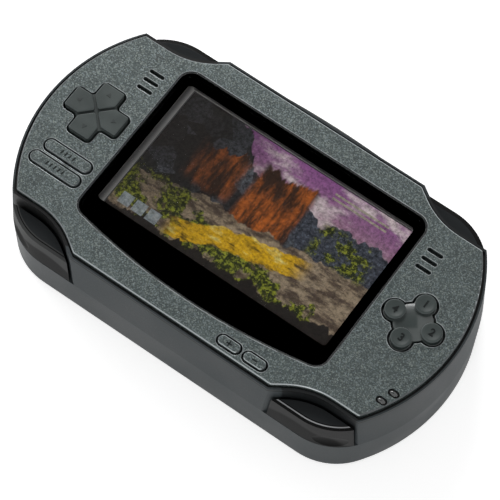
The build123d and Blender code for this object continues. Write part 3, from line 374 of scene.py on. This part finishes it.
# rubbery gloss of the two thumb pads; heights in metres
padLook = {
    "base": (0.036, 0.048, 0.046), "high": (0.052, 0.066, 0.063), "rough": 0.36, "marksRough": 0.1,
    "grain": {"grain": 2200.0, "bump": 0.08, "marks": 130.0},
    "edge": (0.13, 0.15, 0.15), "edgeShare": 0.5, "edgeLean": {"low": 0.3, "high": 0.9},
    "mark": (0.012, 0.016, 0.015), "markShare": 0.55, "markHeight": (0.03751, 0.03754),
    "webHeight": (0.0372, 0.0370), "webCoat": 0.9,
}


def makePad():
    look = padLook
    material, tree, shader = newMaterial("padPlastic", Specular_IOR_Level=0.35, Coat_Roughness=0.09)
    grain = useGroup(tree, grainGroup, **look["grain"]).outputs
    edge = useGroup(tree, edgeGroup, **look["edgeLean"]).outputs["edge"]
    colour = blendColour(tree, grain["marks"], look["base"], look["high"])
    # painted highlight: the rounded upper edges are painted lighter
    colour = blendColour(tree, calc(tree, "MULTIPLY", edge, look["edgeShare"]), colour, look["edge"])
    # the raised triangles are darker
    height = axesOf(tree)[2]
    mark = calc(tree, "MULTIPLY", step(tree, height, *look["markHeight"]), look["markShare"])
    colour = blendColour(tree, mark, colour, look["mark"])
    rough = shifted(tree, look["rough"], grain["marks"], look["marksRough"])
    # the low web between the pads is polished by the thumb
    coat = calc(tree, "MULTIPLY", step(tree, height, *look["webHeight"]), look["webCoat"])
    feed(tree, shader, Base_Color=colour, Roughness=rough, Coat_Weight=coat, Normal=grain["normal"])
    return material


plainLook = {"grain": 2000.0, "marks": 110.0, "roughSpread": 0.1}


def makePlain(name, low, high, rough=0.5, bump=0.1, **plain):
    # a moulded, printed or metal part with a faint variation of its own
    material, tree, shader = newMaterial(name, **plain)
    grain = useGroup(tree, grainGroup, grain=plainLook["grain"], bump=bump, marks=plainLook["marks"]).outputs
    colour = blendColour(tree, grain["marks"], low, high)
    rough = shifted(tree, rough, grain["grain"], plainLook["roughSpread"])
    feed(tree, shader, Base_Color=colour, Roughness=rough, Normal=grain["normal"])
    return material


# the picture: a canyon at dusk with a golden river; its limits in mm from the face's centre
pictureLook = {
    "left": -39.95, "right": 42.7, "low": -20.65, "high": 26.75, "strength": 0.6, "base": (0.01, 0.01, 0.01),
    "skyLow": (0.42, 0.30, 0.26), "skyHigh": (0.30, 0.11, 0.30), "haze": (0.72, 0.60, 0.62),
    "farHill": (0.10, 0.115, 0.15), "farDark": (0.02, 0.022, 0.03), "night": (0.018, 0.014, 0.012),
    "rock": (0.15, 0.17, 0.20), "rockDark": (0.012, 0.011, 0.011), "cliff": (0.50, 0.13, 0.02),
    "cliffDark": (0.04, 0.018, 0.01), "leaf": (0.30, 0.33, 0.03), "leafDark": (0.02, 0.027, 0.008),
    "river": (0.75, 0.44, 0.01), "riverLight": (0.85, 0.72, 0.22), "riverDark": (0.10, 0.06, 0.01),
    "sand": (0.36, 0.28, 0.19), "sandDark": (0.10, 0.07, 0.05),
    "tile": (0.30, 0.34, 0.36), "bar": (0.42, 0.40, 0.28),
}
# its forms, in shares of the picture's width and height
ridges = {  # start, slope, wave, scale and detail
    "hills": (0.66, 0.10, 0.7, 4.5, 4.0), "rocks": (1.25, -1.15, 0.6, 6.0, 5.0), "mesa": (0.86, 0.0, 0.5, 9.0, 4.0),
    "shelf": (0.74, 0.2, 0.5, 11.0, 4.0), "sand": (0.36, 0.14, 0.34, 5.0, 4.0), "bush": (0.44, -0.34, 0.5, 6.5, 4.0),
    "river": (-0.02, 0.52, 0.26, 3.4, 4.0), "shore": (0.045, 0.05, 0.34, 9.0, 4.0),
}
ridgeGrain = {"stretch": (1, 0.05, 1), "rough": 0.6, "blend": 0.012, "mesaBlend": 0.03}
noises = {  # scale, detail, stretch and roughness
    "haze": (5.0, 5.0, (1, 2.0, 1), 0.6), "grit": (60.0, 5.0, (1, 1, 1), 0.8),
    "streak": (15.0, 5.0, (1.6, 0.35, 1), 0.7), "sand": (12.0, 5.0, (1, 2.5, 1), 0.65),
    "leaf": (52.0, 3.0, (1, 1, 1), 0.75), "bush": (10.0, 4.0, (1, 1, 1), 0.6),
    "grove": (16.0, 5.0, (1, 1, 1), 0.7), "ripple": (17.0, 5.0, (0.5, 1.6, 1), 0.65),
}
blends = {  # where each tone or form starts and is full
    "skyHigh": (0.45, 1.0), "haze": (0.48, 0.66), "farHill": (0.35, 0.7), "rock": (0.3, 0.62),
    "streak": (0.42, 0.66), "shelfFoot": (0.42, 0.5), "sand": (0.40, 0.60), "leaf": (0.46, 0.60),
    "bush": (0.44, 0.50), "grove": (0.46, 0.52), "bank": (0.0, 0.015), "riverStart": (0.22, 0.30),
    "riverEnd": (0.80, 0.70), "river": (0.34, 0.50), "riverLight": (0.54, 0.68),
    "shadeAcross": (0.55, 0.05), "shadeUp": (-0.25, 0.70),
}
spans = {  # centre, half width and blend
    "mesa": (0.52, 0.10, 0.03), "shelf": (0.26, 0.07, 0.05), "groveAcross": (0.84, 0.10, 0.04),
    "groveUp": (0.60, 0.09, 0.06),
}
pictureForms = {
    "facetScale": 11.0, "facetContrast": 2.2, "bank": 0.05, "bankWave": 0.07, "shade": 0.8,
    "relief": {"From Min": 0.3, "From Max": 0.7, "To Min": 0.3, "To Max": 1.55},
    "tileColumns": (0.06, 0.122, 0.184), "tileRow": 0.10, "tileSize": (0.024, 0.042),
    "barColumn": 0.80, "barRows": (0.93, 0.895), "barSize": (0.12, 0.006),
    "markBlend": (0.002, 0.003), "markShare": 0.85,
}


def makePicture():
    look, forms = pictureLook, pictureForms
    material, tree, shader = newMaterial(
        "picture", Base_Color=look["base"], Roughness=0.35, Specular_IOR_Level=0.1, Emission_Strength=look["strength"])
    width = (look["right"] - look["left"]) * mm
    height = (look["high"] - look["low"]) * mm
    shift = (-look["left"] * mm / width, -(look["low"] + faceShift) * mm / width, 0)
    place = objectPoint(tree, (1 / width, 1 / width, 0), shift)
    u, v = addNode(tree, "ShaderNodeSeparateXYZ", {"Vector": place}).outputs[:2]
    v = calc(tree, "MULTIPLY", v, width / height)

    def noise(scale, detail, stretch, rough):
        point = addNode(tree, "ShaderNodeMapping", {"Vector": place, "Scale": stretch}).outputs[0]
        return noiseOf(tree, point, scale, detail, rough)

    def ridge(name):
        # height of a ridge along the picture
        start, slope, wave, scale, detail = ridges[name]
        rise = calc(tree, "SUBTRACT", noise(scale, detail, ridgeGrain["stretch"], ridgeGrain["rough"]), 0.5)
        line = calc(tree, "ADD", calc(tree, "MULTIPLY", u, slope), start)
        return shifted(tree, line, rise, wave)

    def under(name, blend=ridgeGrain["blend"]):
        return step(tree, calc(tree, "SUBTRACT", ridge(name), v), 0.0, blend)

    def blended(value, name):
        return step(tree, value, *blends[name])

    def both(first, second):
        return calc(tree, "MULTIPLY", first, second)

    def near(value, centre, half, blend):
        gap = calc(tree, "ABSOLUTE", calc(tree, "SUBTRACT", value, centre))
        return step(tree, gap, half + blend, half)

    def mix(factor, first, second):
        # a name stands for its tone
        tones = [look[tone] if isinstance(tone, str) else tone for tone in (first, second)]
        return blendColour(tree, factor, *tones)

    picture = mix(blended(v, "skyHigh"), "skyLow", "skyHigh")
    picture = mix(blended(noise(*noises["haze"]), "haze"), picture, "haze")
    facet = addNode(tree, "ShaderNodeTexVoronoi", {"Vector": place, "Scale": forms["facetScale"]}, feature="F1")
    facetTone = addNode(tree, "ShaderNodeSeparateColor", {"Color": facet.outputs["Color"]}).outputs[0]
    facetTone = calc(tree, "POWER", facetTone, forms["facetContrast"])
    grit = noise(*noises["grit"])
    picture = mix(under("hills"), picture, mix(blended(grit, "farHill"), "farDark", "farHill"))
    picture = mix(under("rocks"), picture, mix(both(facetTone, blended(grit, "rock")), "rockDark", "rock"))
    cliff = mix(blended(noise(*noises["streak"]), "streak"), "cliffDark", "cliff")
    picture = mix(both(near(u, *spans["mesa"]), under("mesa", ridgeGrain["mesaBlend"])), picture, cliff)
    shelf = both(near(u, *spans["shelf"]), both(under("shelf"), blended(v, "shelfFoot")))
    picture = mix(shelf, picture, cliff)
    picture = mix(under("sand"), picture, mix(blended(noise(*noises["sand"]), "sand"), "sandDark", "sand"))
    leaves = mix(blended(noise(*noises["leaf"]), "leaf"), "leafDark", "leaf")
    picture = mix(both(under("bush"), blended(noise(*noises["bush"]), "bush")), picture, leaves)
    grove = both(near(u, *spans["groveAcross"]), near(v, *spans["groveUp"]))
    picture = mix(both(grove, blended(noise(*noises["grove"]), "grove")), picture, leaves)
    # the river: its bed follows a ridge line, and its banks wave with the ripples
    flow = calc(tree, "ABSOLUTE", calc(tree, "SUBTRACT", v, ridge("river")))
    ripple = noise(*noises["ripple"])
    bank = shifted(tree, forms["bank"], ripple, forms["bankWave"])
    band = both(blended(calc(tree, "SUBTRACT", bank, flow), "bank"), blended(u, "riverStart"))
    water = mix(blended(ripple, "river"), "riverDark", "river")
    water = mix(blended(ripple, "riverLight"), water, "riverLight")
    picture = mix(both(band, blended(u, "riverEnd")), picture, water)
    # dusk lies over the near shore and the left side
    picture = mix(under("shore"), picture, "night")
    shade = both(blended(u, "shadeAcross"), blended(v, "shadeUp"))
    picture = mix(calc(tree, "MULTIPLY", shade, forms["shade"]), picture, "night")
    # three plain tiles low on the left, two thin bars high on the right
    marks = [(column, forms["tileRow"], *forms["tileSize"], "tile") for column in forms["tileColumns"]]
    marks += [(forms["barColumn"], row, *forms["barSize"], "bar") for row in forms["barRows"]]
    acrossBlend, upBlend = forms["markBlend"]
    for column, row, across, up, tone in marks:
        patch = both(near(u, column, across, acrossBlend), near(v, row, up, upBlend))
        picture = mix(calc(tree, "MULTIPLY", patch, forms["markShare"]), picture, tone)
    relief = addNode(tree, "ShaderNodeMapRange", {"Value": grit, **forms["relief"]}).outputs[0]
    feed(tree, shader, Emission_Color=blendColour(tree, 1.0, picture, relief, "MULTIPLY"))
    return material


# grey tray round the display: it pales towards the picture and ends in a dark line, with a thin outer line;
# left and far hold the places in mm of the outer line, the gap's two ends, the palest tone and the inner line
trayLook = {
    "dark": (0.020, 0.020, 0.022), "pale": (0.16, 0.155, 0.15), "line": (0.05, 0.05, 0.05),
    "gap": (0.004, 0.004, 0.004), "dust": (0.03, 0.028, 0.026), "dustShare": 0.2, "mitreBlend": 0.0001,
    "grain": {"grain": 2000.0, "bump": 0.1, "marks": 90.0},
    "left": (-42.55, -42.25, -42.0, -40.25, -40.1), "far": (27.8, 27.6, 27.45, 26.95, 26.88),
}


def makeTray():
    look = trayLook
    material, tree, shader = newMaterial("displayTray", Roughness=0.45)
    grain = useGroup(tree, grainGroup, **look["grain"]).outputs
    across, along = axesOf(tree)[:2]
    # the same bands run up the left side and along the far side, mitred at the corner
    bands = []
    for axis, key, shift in ((across, "left", 0.0), (along, "far", faceShift)):
        line, gapStart, gapEnd, pale, end = [(place + shift) * mm for place in look[key]]
        colour = blendColour(tree, step(tree, axis, gapEnd, pale), look["dark"], look["pale"])
        colour = blendColour(tree, step(tree, axis, gapEnd, gapStart), colour, look["gap"])
        colour = blendColour(tree, step(tree, axis, gapStart, line), colour, look["line"])
        bands.append(blendColour(tree, step(tree, axis, pale, end), colour, look["gap"]))
    fromLeft = calc(tree, "SUBTRACT", across, look["left"][-1] * mm)
    fromFar = calc(tree, "SUBTRACT", (look["far"][-1] + faceShift) * mm, along)
    side = step(tree, calc(tree, "SUBTRACT", fromLeft, fromFar), 0.0, look["mitreBlend"])
    colour = blendColour(tree, side, *bands)
    colour = blendColour(tree, calc(tree, "MULTIPLY", grain["marks"], look["dustShare"]), colour, look["dust"])
    feed(tree, shader, Base_Color=colour, Normal=grain["normal"])
    return material


meshLook = {
    "pitch": 0.0008, "weave": (-0.2, 0.6), "dark": (0.008, 0.009, 0.009), "light": (0.085, 0.095, 0.093), "bump": 0.6,
}


def makeMesh():
    # woven speaker cloth: crossed ribs
    look = meshLook
    material, tree, shader = newMaterial("speakerMesh", Roughness=0.6)
    waves = [
        calc(tree, "SINE", calc(tree, "MULTIPLY", axis, 2 * math.pi / look["pitch"])) for axis in axesOf(tree)[:2]
    ]
    weave = step(tree, calc(tree, "MULTIPLY", *waves), *look["weave"])
    colour = blendColour(tree, weave, look["dark"], look["light"])
    feed(tree, shader, Base_Color=colour, Normal=bumpOf(tree, weave, look["bump"]))
    return material


windowLook = {"grain": {"grain": 500.0, "bump": 0.0, "marks": 30.0}, "marksRough": 0.03}


def makeWindow():
    # clear glass with faint handling marks in its gloss
    material, tree, shader = newMaterial("clearWindow", Base_Color=(1.0, 1.0, 1.0), Transmission_Weight=1.0, IOR=1.5)
    marks = useGroup(tree, grainGroup, **windowLook["grain"]).outputs["marks"]
    feed(tree, shader, Roughness=calc(tree, "MULTIPLY", marks, windowLook["marksRough"]))
    return material


cellLook = {
    "low": (0.02, 0.06, 0.045), "high": (0.03, 0.08, 0.06), "band": (0.45, 0.33, 0.13), "bandFrom": (0.0165, 0.0168),
    "grain": {"grain": 900.0, "bump": 0.03, "marks": 60.0},
}


def makeCell():
    # printed jacket of a cell: a dark sleeve with a metal end band
    look = cellLook
    material, tree, shader = newMaterial("cellJacket", Metallic=0.3, Roughness=0.35)
    marks = useGroup(tree, grainGroup, **look["grain"]).outputs["marks"]
    band = step(tree, calc(tree, "ABSOLUTE", axesOf(tree)[1]), *look["bandFrom"])
    sleeve = blendColour(tree, marks, look["low"], look["high"])
    feed(tree, shader, Base_Color=blendColour(tree, band, sleeve, look["band"]))
    return material


boardLook = {
    "Scale": 160.0, "Mortar Size": 0.06, "Color1": (0.012, 0.10, 0.045, 1), "Color2": (0.014, 0.115, 0.05, 1),
    "Mortar": (0.03, 0.17, 0.07, 1),
}


def makeBoard():
    # solder mask over copper tracks
    material, tree, shader = newMaterial("solderMask", Roughness=0.3)
    tracks = addNode(tree, "ShaderNodeTexBrick", {"Vector": objectPoint(tree), **boardLook})
    feed(tree, shader, Base_Color=tracks.outputs["Color"])
    return material


# plain looks: two tones, roughness and depth of grain
materials = {
    "paint": makePaint(),
    "rim": makeRim(),
    "upperShell": makeHousing("upperShell", True),
    "lowerShell": makeHousing("lowerShell", False),
    "trigger": makeTrigger(),
    "pad": makePad(),
    "window": makeWindow(),
    "mask": makePlain(
        "windowPrint", (0.0008, 0.0008, 0.0008), (0.0014, 0.0014, 0.0014), 0.8, 0.0, Specular_IOR_Level=0.0),
    # painted highlight: the lens's edge bead is grey, lighter than the black under the window; its round also catches
    # the lamps
    "lensEdgeHighlight": makePlain("lensEdgeHighlight", (0.05, 0.052, 0.054), (0.09, 0.094, 0.096), 0.2, 0.0),
    "tray": makeTray(),
    "picture": makePicture(),
    "backlight": makePlain("backlightSheet", (0.75, 0.75, 0.72), (0.85, 0.85, 0.82), 0.5, 0.05),
    "ribbon": makePlain("ribbonFilm", (0.45, 0.2, 0.03), (0.55, 0.26, 0.05), 0.3, 0.05),
    "board": makeBoard(),
    "chip": makePlain("chipPackage", (0.012, 0.012, 0.013), (0.022, 0.022, 0.023), 0.55, 0.15),
    "steel": makePlain("steel", (0.42, 0.42, 0.43), (0.58, 0.58, 0.59), 0.25, 0.05, Metallic=1.0),
    "contact": makePlain("platedContact", (0.55, 0.45, 0.25), (0.68, 0.58, 0.36), 0.25, 0.05, Metallic=1.0),
    "mesh": makeMesh(),
    "guide": makePlain("lightGuide", (0.004, 0.004, 0.004), (0.008, 0.008, 0.008), 0.12, 0.0, Coat_Weight=0.5),
    "dome": makePlain("indicatorDome", (0.030, 0.033, 0.033), (0.05, 0.054, 0.054), 0.08, 0.0, Coat_Weight=1.0),
    "rubber": makePlain("membraneRubber", (0.32, 0.32, 0.31), (0.40, 0.40, 0.39), 0.65, 0.1),
    "cell": makeCell(),
    "pivot": makePlain("pivotNylon", (0.55, 0.55, 0.52), (0.65, 0.65, 0.62), 0.4, 0.05),
    "trim": makePlain("trimPlastic", (0.020, 0.022, 0.023), (0.040, 0.043, 0.045), 0.38, 0.1),
    "engraved": makePlain(
        "engravedShade", (0.007, 0.009, 0.009), (0.013, 0.016, 0.016), 0.5, 0.1, Specular_IOR_Level=0.15),
    "print": makePlain("platePrint", (0.035, 0.042, 0.041), (0.05, 0.06, 0.058), 0.5, 0.1),
}

looksOfSlots = {
    "gunmetal_paint": "paint", "housing_plastic": "lowerShell", "trigger_plastic": "trigger", "pad_plastic": "pad",
    "window_clear": "window", "mask_black": "mask", "frame_plastic": "tray", "screen_glass": "picture",
    "backlight_white": "backlight", "ribbon_amber": "ribbon", "board_green": "board", "chip_black": "chip",
    "steel": "steel", "contact_metal": "contact", "mesh_steel": "mesh", "light_guide": "guide", "rubber": "rubber",
    "cell_jacket": "cell", "pivot_plastic": "pivot",
}
ownLooks = {"upper_housing": "upperShell", "top_trim_strip": "trim"}
for entry in frame["record"]["subparts"]:
    look = ownLooks.get(entry["node"], looksOfSlots[entry["material_slot"]])
    for slot in nodes[entry["node"]].material_slots:
        slot.material = materials[look]


def facePoint(x, y, height):
    # a place in mm from the face's centre, in metres from the origin
    return Vector((x * mm, (y + faceShift) * mm, height * mm))


def meshOf(name, shape):
    mesh = bpy.data.meshes.new(name)
    shape.to_mesh(mesh)
    shape.free()
    return mesh


def finishPiece(name, mesh, body, look):
    piece = bpy.data.objects.new(name, mesh)
    scene.collection.objects.link(piece)
    mesh.materials.append(materials[look])
    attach(piece, body)


# numbers on the round pads; all small pieces are given in mm
padNumbers = {
    "centre": (60.0, 1.1), "reach": 6.68, "places": [(0, 1), (1, 0), (0, -1), (-1, 0)],
    "top": 37.35, "size": 3.5, "extrude": 0.06, "offset": 0.07,
}


def numberMark(name, text, x, y, look, body):
    curve = bpy.data.curves.new(name + "Text", "FONT")
    curve.body = text
    curve.size = look["size"] * mm
    curve.extrude = look["extrude"] * mm
    curve.offset = look["offset"] * mm
    curve.align_x = "CENTER"
    curve.align_y = "CENTER"
    source = bpy.data.objects.new(name + "Text", curve)
    scene.collection.objects.link(source)
    bpy.context.view_layer.update()
    mesh = bpy.data.meshes.new_from_object(source.evaluated_get(bpy.context.evaluated_depsgraph_get()))
    bpy.data.objects.remove(source)
    mesh.name = name
    mesh.transform(Matrix.Translation(facePoint(x, y, look["top"])))
    mesh.materials.clear()
    finishPiece(name, mesh, body, "engraved")


for count, (dx, dy) in enumerate(padNumbers["places"], 1):
    x = padNumbers["centre"][0] + dx * padNumbers["reach"]
    y = padNumbers["centre"][1] + dy * padNumbers["reach"]
    numberMark(f"padNumber{count}", str(count), x, y, padNumbers, "action_cap")

# marks of small blocks: slanted rows on the long buttons, plus and minus on the small ones
blockCorner = {"radius": 0.12, "segments": 2}
optionMarks = {
    "upper": (-57.75, -15.25, 4), "lower": (-58.5, -21.0, 5), "pitch": 1.5, "size": (0.55, 1.5), "turn": -12,
    "top": 36.72, "depth": 0.1,
}
menuMarks = {"plusX": 19.3, "minusX": 28.65, "y": -37.2, "size": (1.9, 0.45), "top": 36.63, "depth": 0.06}


def blockMark(name, blocks, look, body):
    # blocks: centre x and y, length, width, turn in degrees
    shape = bmesh.new()
    top, depth = look["top"], look["depth"]
    for x, y, length, width, turn in blocks:
        matrix = (
            Matrix.Translation(facePoint(x, y, top - depth / 2))
            @ Matrix.Rotation(math.radians(turn), 4, "Z")
            @ Matrix.Diagonal((length * mm, width * mm, depth * mm, 1))
        )
        bmesh.ops.create_cube(shape, size=1.0, matrix=matrix)
    upright = [e for e in shape.edges if abs(e.verts[0].co.z - e.verts[1].co.z) > depth * mm / 2]
    bmesh.ops.bevel(
        shape, geom=upright, offset=blockCorner["radius"] * mm, segments=blockCorner["segments"], profile=0.5,
        affect="EDGES", material=-1)
    finishPiece(name, meshOf(name, shape), body, "engraved")


for side in ("upper", "lower"):
    x, y, count = optionMarks[side]
    blocks = [
        (x + (i - (count - 1) / 2) * optionMarks["pitch"], y, *optionMarks["size"], optionMarks["turn"])
        for i in range(count)
    ]
    blockMark(side + "OptionMark", blocks, optionMarks, side + "_option_button")

# the common sign for a wireless signal, low print on the plate
signalMark = {
    "place": (-55.9, 28.4), "arcs": [(0.95, 1.3), (1.75, 2.1)], "dot": 0.45, "top": 36.03, "depth": 0.03,
    "arcSteps": 12, "dotSteps": 20,
}


def arcMark(name, look, body, materialName):
    # arcs: inner and outer radius of each quarter ring above a dot
    shape = bmesh.new()
    centre = facePoint(*look["place"], look["top"])
    for radii in look["arcs"]:
        rows = []
        for i in range(look["arcSteps"] + 1):
            turn = math.radians(45 + 90 * i / look["arcSteps"])
            ray = Vector((math.cos(turn), math.sin(turn), 0))
            rows.append([shape.verts.new(centre + ray * radius * mm) for radius in radii])
        for first, second in zip(rows, rows[1:]):
            shape.faces.new((first[0], first[1], second[1], second[0]))
    place = Matrix.Translation(centre)
    bmesh.ops.create_circle(shape, cap_ends=True, segments=look["dotSteps"], radius=look["dot"] * mm, matrix=place)
    bmesh.ops.recalc_face_normals(shape, faces=shape.faces)
    bmesh.ops.solidify(shape, geom=shape.faces[:], thickness=look["depth"] * mm)
    finishPiece(name, meshOf(name, shape), body, materialName)


arcMark("signalMark", signalMark, "console", "print")

# low domes on the two indicator ovals
indicatorDomes = {
    "places": [(68.2, -21.4), (66.5, -25.4)], "radii": (1.35, 0.75, 0.32), "top": 35.75, "segments": 24, "rings": 12,
}


def indicatorDome(name, x, y, look):
    shape = bmesh.new()
    place = Matrix.Translation(facePoint(x, y, look["top"])) @ Matrix.Diagonal((*look["radii"], 1))
    bmesh.ops.create_uvsphere(
        shape, u_segments=look["segments"], v_segments=look["rings"], radius=mm, matrix=place)
    bmesh.ops.bisect_plane(
        shape, geom=shape.verts[:] + shape.edges[:] + shape.faces[:], plane_co=(0, 0, look["top"] * mm),
        plane_no=(0, 0, -1), clear_outer=True)
    bmesh.ops.holes_fill(shape, edges=[edge for edge in shape.edges if edge.is_boundary])
    for face in shape.faces:
        face.smooth = True
    finishPiece(name, meshOf(name, shape), "console", "dome")


for count, (x, y) in enumerate(indicatorDomes["places"], 1):
    indicatorDome(f"indicatorDome{count}", x, y, indicatorDomes)

# thin beads on sharp rims, toned lighter than their surroundings as painted highlights; rows hold the sideways shift
# into the material and the height of each section corner
rims = {
    "openingRims": {
        "node": "face_plate", "top": 36.0, "rows": [(-0.03, 35.9), (0.02, 36.02), (0.10, 36.03), (0.2, 35.99)],
        "slot": "gunmetal_paint", "material": "rim",
    },
    "lensEdgeLine": {
        "node": "screen_window", "top": 35.85, "rows": [(-0.05, 35.84), (0.0, 35.87), (0.12, 35.87), (0.17, 35.84)],
        "slot": "mask_black", "material": "lensEdgeHighlight",
    },
}
# what counts as a rim: a closed loop of this many points on the flat top, no further out than this
rimLimits = {"fewest": 40, "flat": 0.999, "slack": 0.01, "reach": 72.5, "sharpest": 0.5}


def rimLoops(node, topHeight):
    # boundary loops of the node's flat top face, as ordered points in mm
    shape = bmesh.new()
    shape.from_mesh(nodes[node].data)
    top = {
        face for face in shape.faces
        if face.normal.z > rimLimits["flat"]
        and abs(face.calc_center_median().z / mm - topHeight) < rimLimits["slack"]
    }
    follow = {}
    for face in top:
        for loop in face.loops:
            if not any(other in top for other in loop.edge.link_faces if other is not face):
                follow[loop.vert.index] = (loop.edge.other_vert(loop.vert).index, loop.vert.co / mm)
    loops = []
    while follow:
        start = next(iter(follow))
        points, here = [], start
        while here in follow:
            here, point = follow.pop(here)
            points.append(point)
        if here == start and len(points) >= rimLimits["fewest"]:
            loops.append(points)
    shape.free()
    return [loop for loop in loops if max(abs(point.x) for point in loop) < rimLimits["reach"]]


def rimPiece(name, look, body):
    shape = bmesh.new()
    rows = look["rows"]
    loops = rimLoops(look["node"], look["top"])
    for points in loops:
        rings = []
        for before, point, after in zip(points[-1:] + points[:-1], points, points[1:] + points[:1]):
            first = (point - before).to_2d().normalized()
            second = (after - point).to_2d().normalized()
            mean = (first + second).normalized()
            inward = Vector((-mean.y, mean.x)) * (1 / max(mean.dot(first), rimLimits["sharpest"]))
            rings.append([
                shape.verts.new(((point.x + inward.x * shift) * mm, (point.y + inward.y * shift) * mm, height * mm))
                for shift, height in rows
            ])
        for here, after in zip(rings, rings[1:] + rings[:1]):
            for i in range(len(rows)):
                j = (i + 1) % len(rows)
                shape.faces.new((here[i], after[i], after[j], here[j]))
    bmesh.ops.recalc_face_normals(shape, faces=shape.faces[:])
    finishPiece(name, meshOf(name, shape), body, look["material"])
    print(name, "follows", len(loops), "loops")


for name, look in rims.items():
    rimPiece(name, look, "console")

markLength, markWidth = menuMarks["size"]
plusBlocks = [
    (menuMarks["plusX"], menuMarks["y"], markLength, markWidth, 0),
    (menuMarks["plusX"], menuMarks["y"], markWidth, markLength, 0),
]
blockMark("plusMark", plusBlocks, menuMarks, "left_menu_button")
minusBlocks = [(menuMarks["minusX"], menuMarks["y"], markLength, markWidth, 0)]
blockMark("minusMark", minusBlocks, menuMarks, "right_menu_button")
print("marks, domes and rims made")

# floor, world, lamps and a flag; metres and watts
floorLook = {"size": 2.5, "height": -0.0001, "colour": (0.86, 0.86, 0.86), "glow": 0.7}
worldLook = {"light": 0.3, "seen": 1.0}
lampSettings = {
    "overhead": {"place": (-0.50, 0.62, 0.66), "size": 0.42, "power": 3.9},
    "front": {"place": (0.25, -0.95, 0.5), "size": 0.4, "power": 1.8},
    "left": {"place": (-0.95, 0.15, 0.55), "size": 0.35, "power": 2.0},
}
flagSettings = {"place": (-0.25, 0.36, 0.95), "size": 0.2}


def seenRays(tree):
    # rays that show the background as it is: camera, mirror and glass rays
    light = addNode(tree, "ShaderNodeLightPath").outputs
    seen = calc(tree, "MAXIMUM", light["Is Camera Ray"], light["Is Glossy Ray"])
    return calc(tree, "MAXIMUM", seen, light["Is Transmission Ray"])


def makeFloorPaper():
    material, tree, shader = newMaterial(
        "floorPaper", Roughness=0.9, Base_Color=floorLook["colour"], Specular_IOR_Level=0.1)
    paper = shader.outputs[0]
    glow = addNode(tree, "ShaderNodeEmission", {"Color": (1, 1, 1, 1), "Strength": floorLook["glow"]})
    lit = addNode(tree, "ShaderNodeAddShader", {0: paper, 1: glow.outputs[0]})
    above = addNode(tree, "ShaderNodeMixShader", {0: seenRays(tree), 1: paper, 2: lit.outputs[0]})
    # from below the floor is clear, so that the base can be looked at
    below = addNode(tree, "ShaderNodeNewGeometry").outputs["Backfacing"]
    clear = addNode(tree, "ShaderNodeBsdfTransparent")
    sheet = addNode(tree, "ShaderNodeMixShader", {0: below, 1: above.outputs[0], 2: clear.outputs[0]})
    feed(tree, tree.nodes["Material Output"], Surface=sheet.outputs[0])
    return material


def makeSheet(name, size, material):
    shape = bmesh.new()
    bmesh.ops.create_grid(shape, x_segments=1, y_segments=1, size=size)
    mesh = meshOf(name, shape)
    mesh.materials.append(material)
    sheet = bpy.data.objects.new(name, mesh)
    scene.collection.objects.link(sheet)
    return sheet


def faceOrigin(thing, place):
    # lamps shine along their own -Z
    thing.location = place
    thing.rotation_euler = Vector(place).to_track_quat("Z", "Y").to_euler()


floor = makeSheet("floor", floorLook["size"], makeFloorPaper())
floor.location.z = floorLook["height"]

world = bpy.data.worlds.new("studio")
scene.world = world
world.use_nodes = True
worldTree = world.node_tree
strengths = {"Value": seenRays(worldTree), "To Min": worldLook["light"], "To Max": worldLook["seen"]}
background = worldTree.nodes["Background"]
background.inputs["Color"].default_value = (1, 1, 1, 1)
feed(worldTree, background, Strength=addNode(worldTree, "ShaderNodeMapRange", strengths).outputs[0])

for name, lamp in lampSettings.items():
    data = bpy.data.lights.new(name, "AREA")
    data.size = lamp["size"]
    data.energy = lamp["power"]
    light = bpy.data.objects.new(name, data)
    faceOrigin(light, lamp["place"])
    scene.collection.objects.link(light)

# a black flag where the window mirrors the camera keeps the window's face dark
flagCloth = newMaterial("flagCloth", Base_Color=(0.0, 0.0, 0.0), Roughness=1.0, Specular_IOR_Level=0.0)[0]
flag = makeSheet("flag", flagSettings["size"], flagCloth)
faceOrigin(flag, flagSettings["place"])
flag.visible_camera = False
flag.visible_diffuse = False
flag.visible_shadow = False
print("studio set")
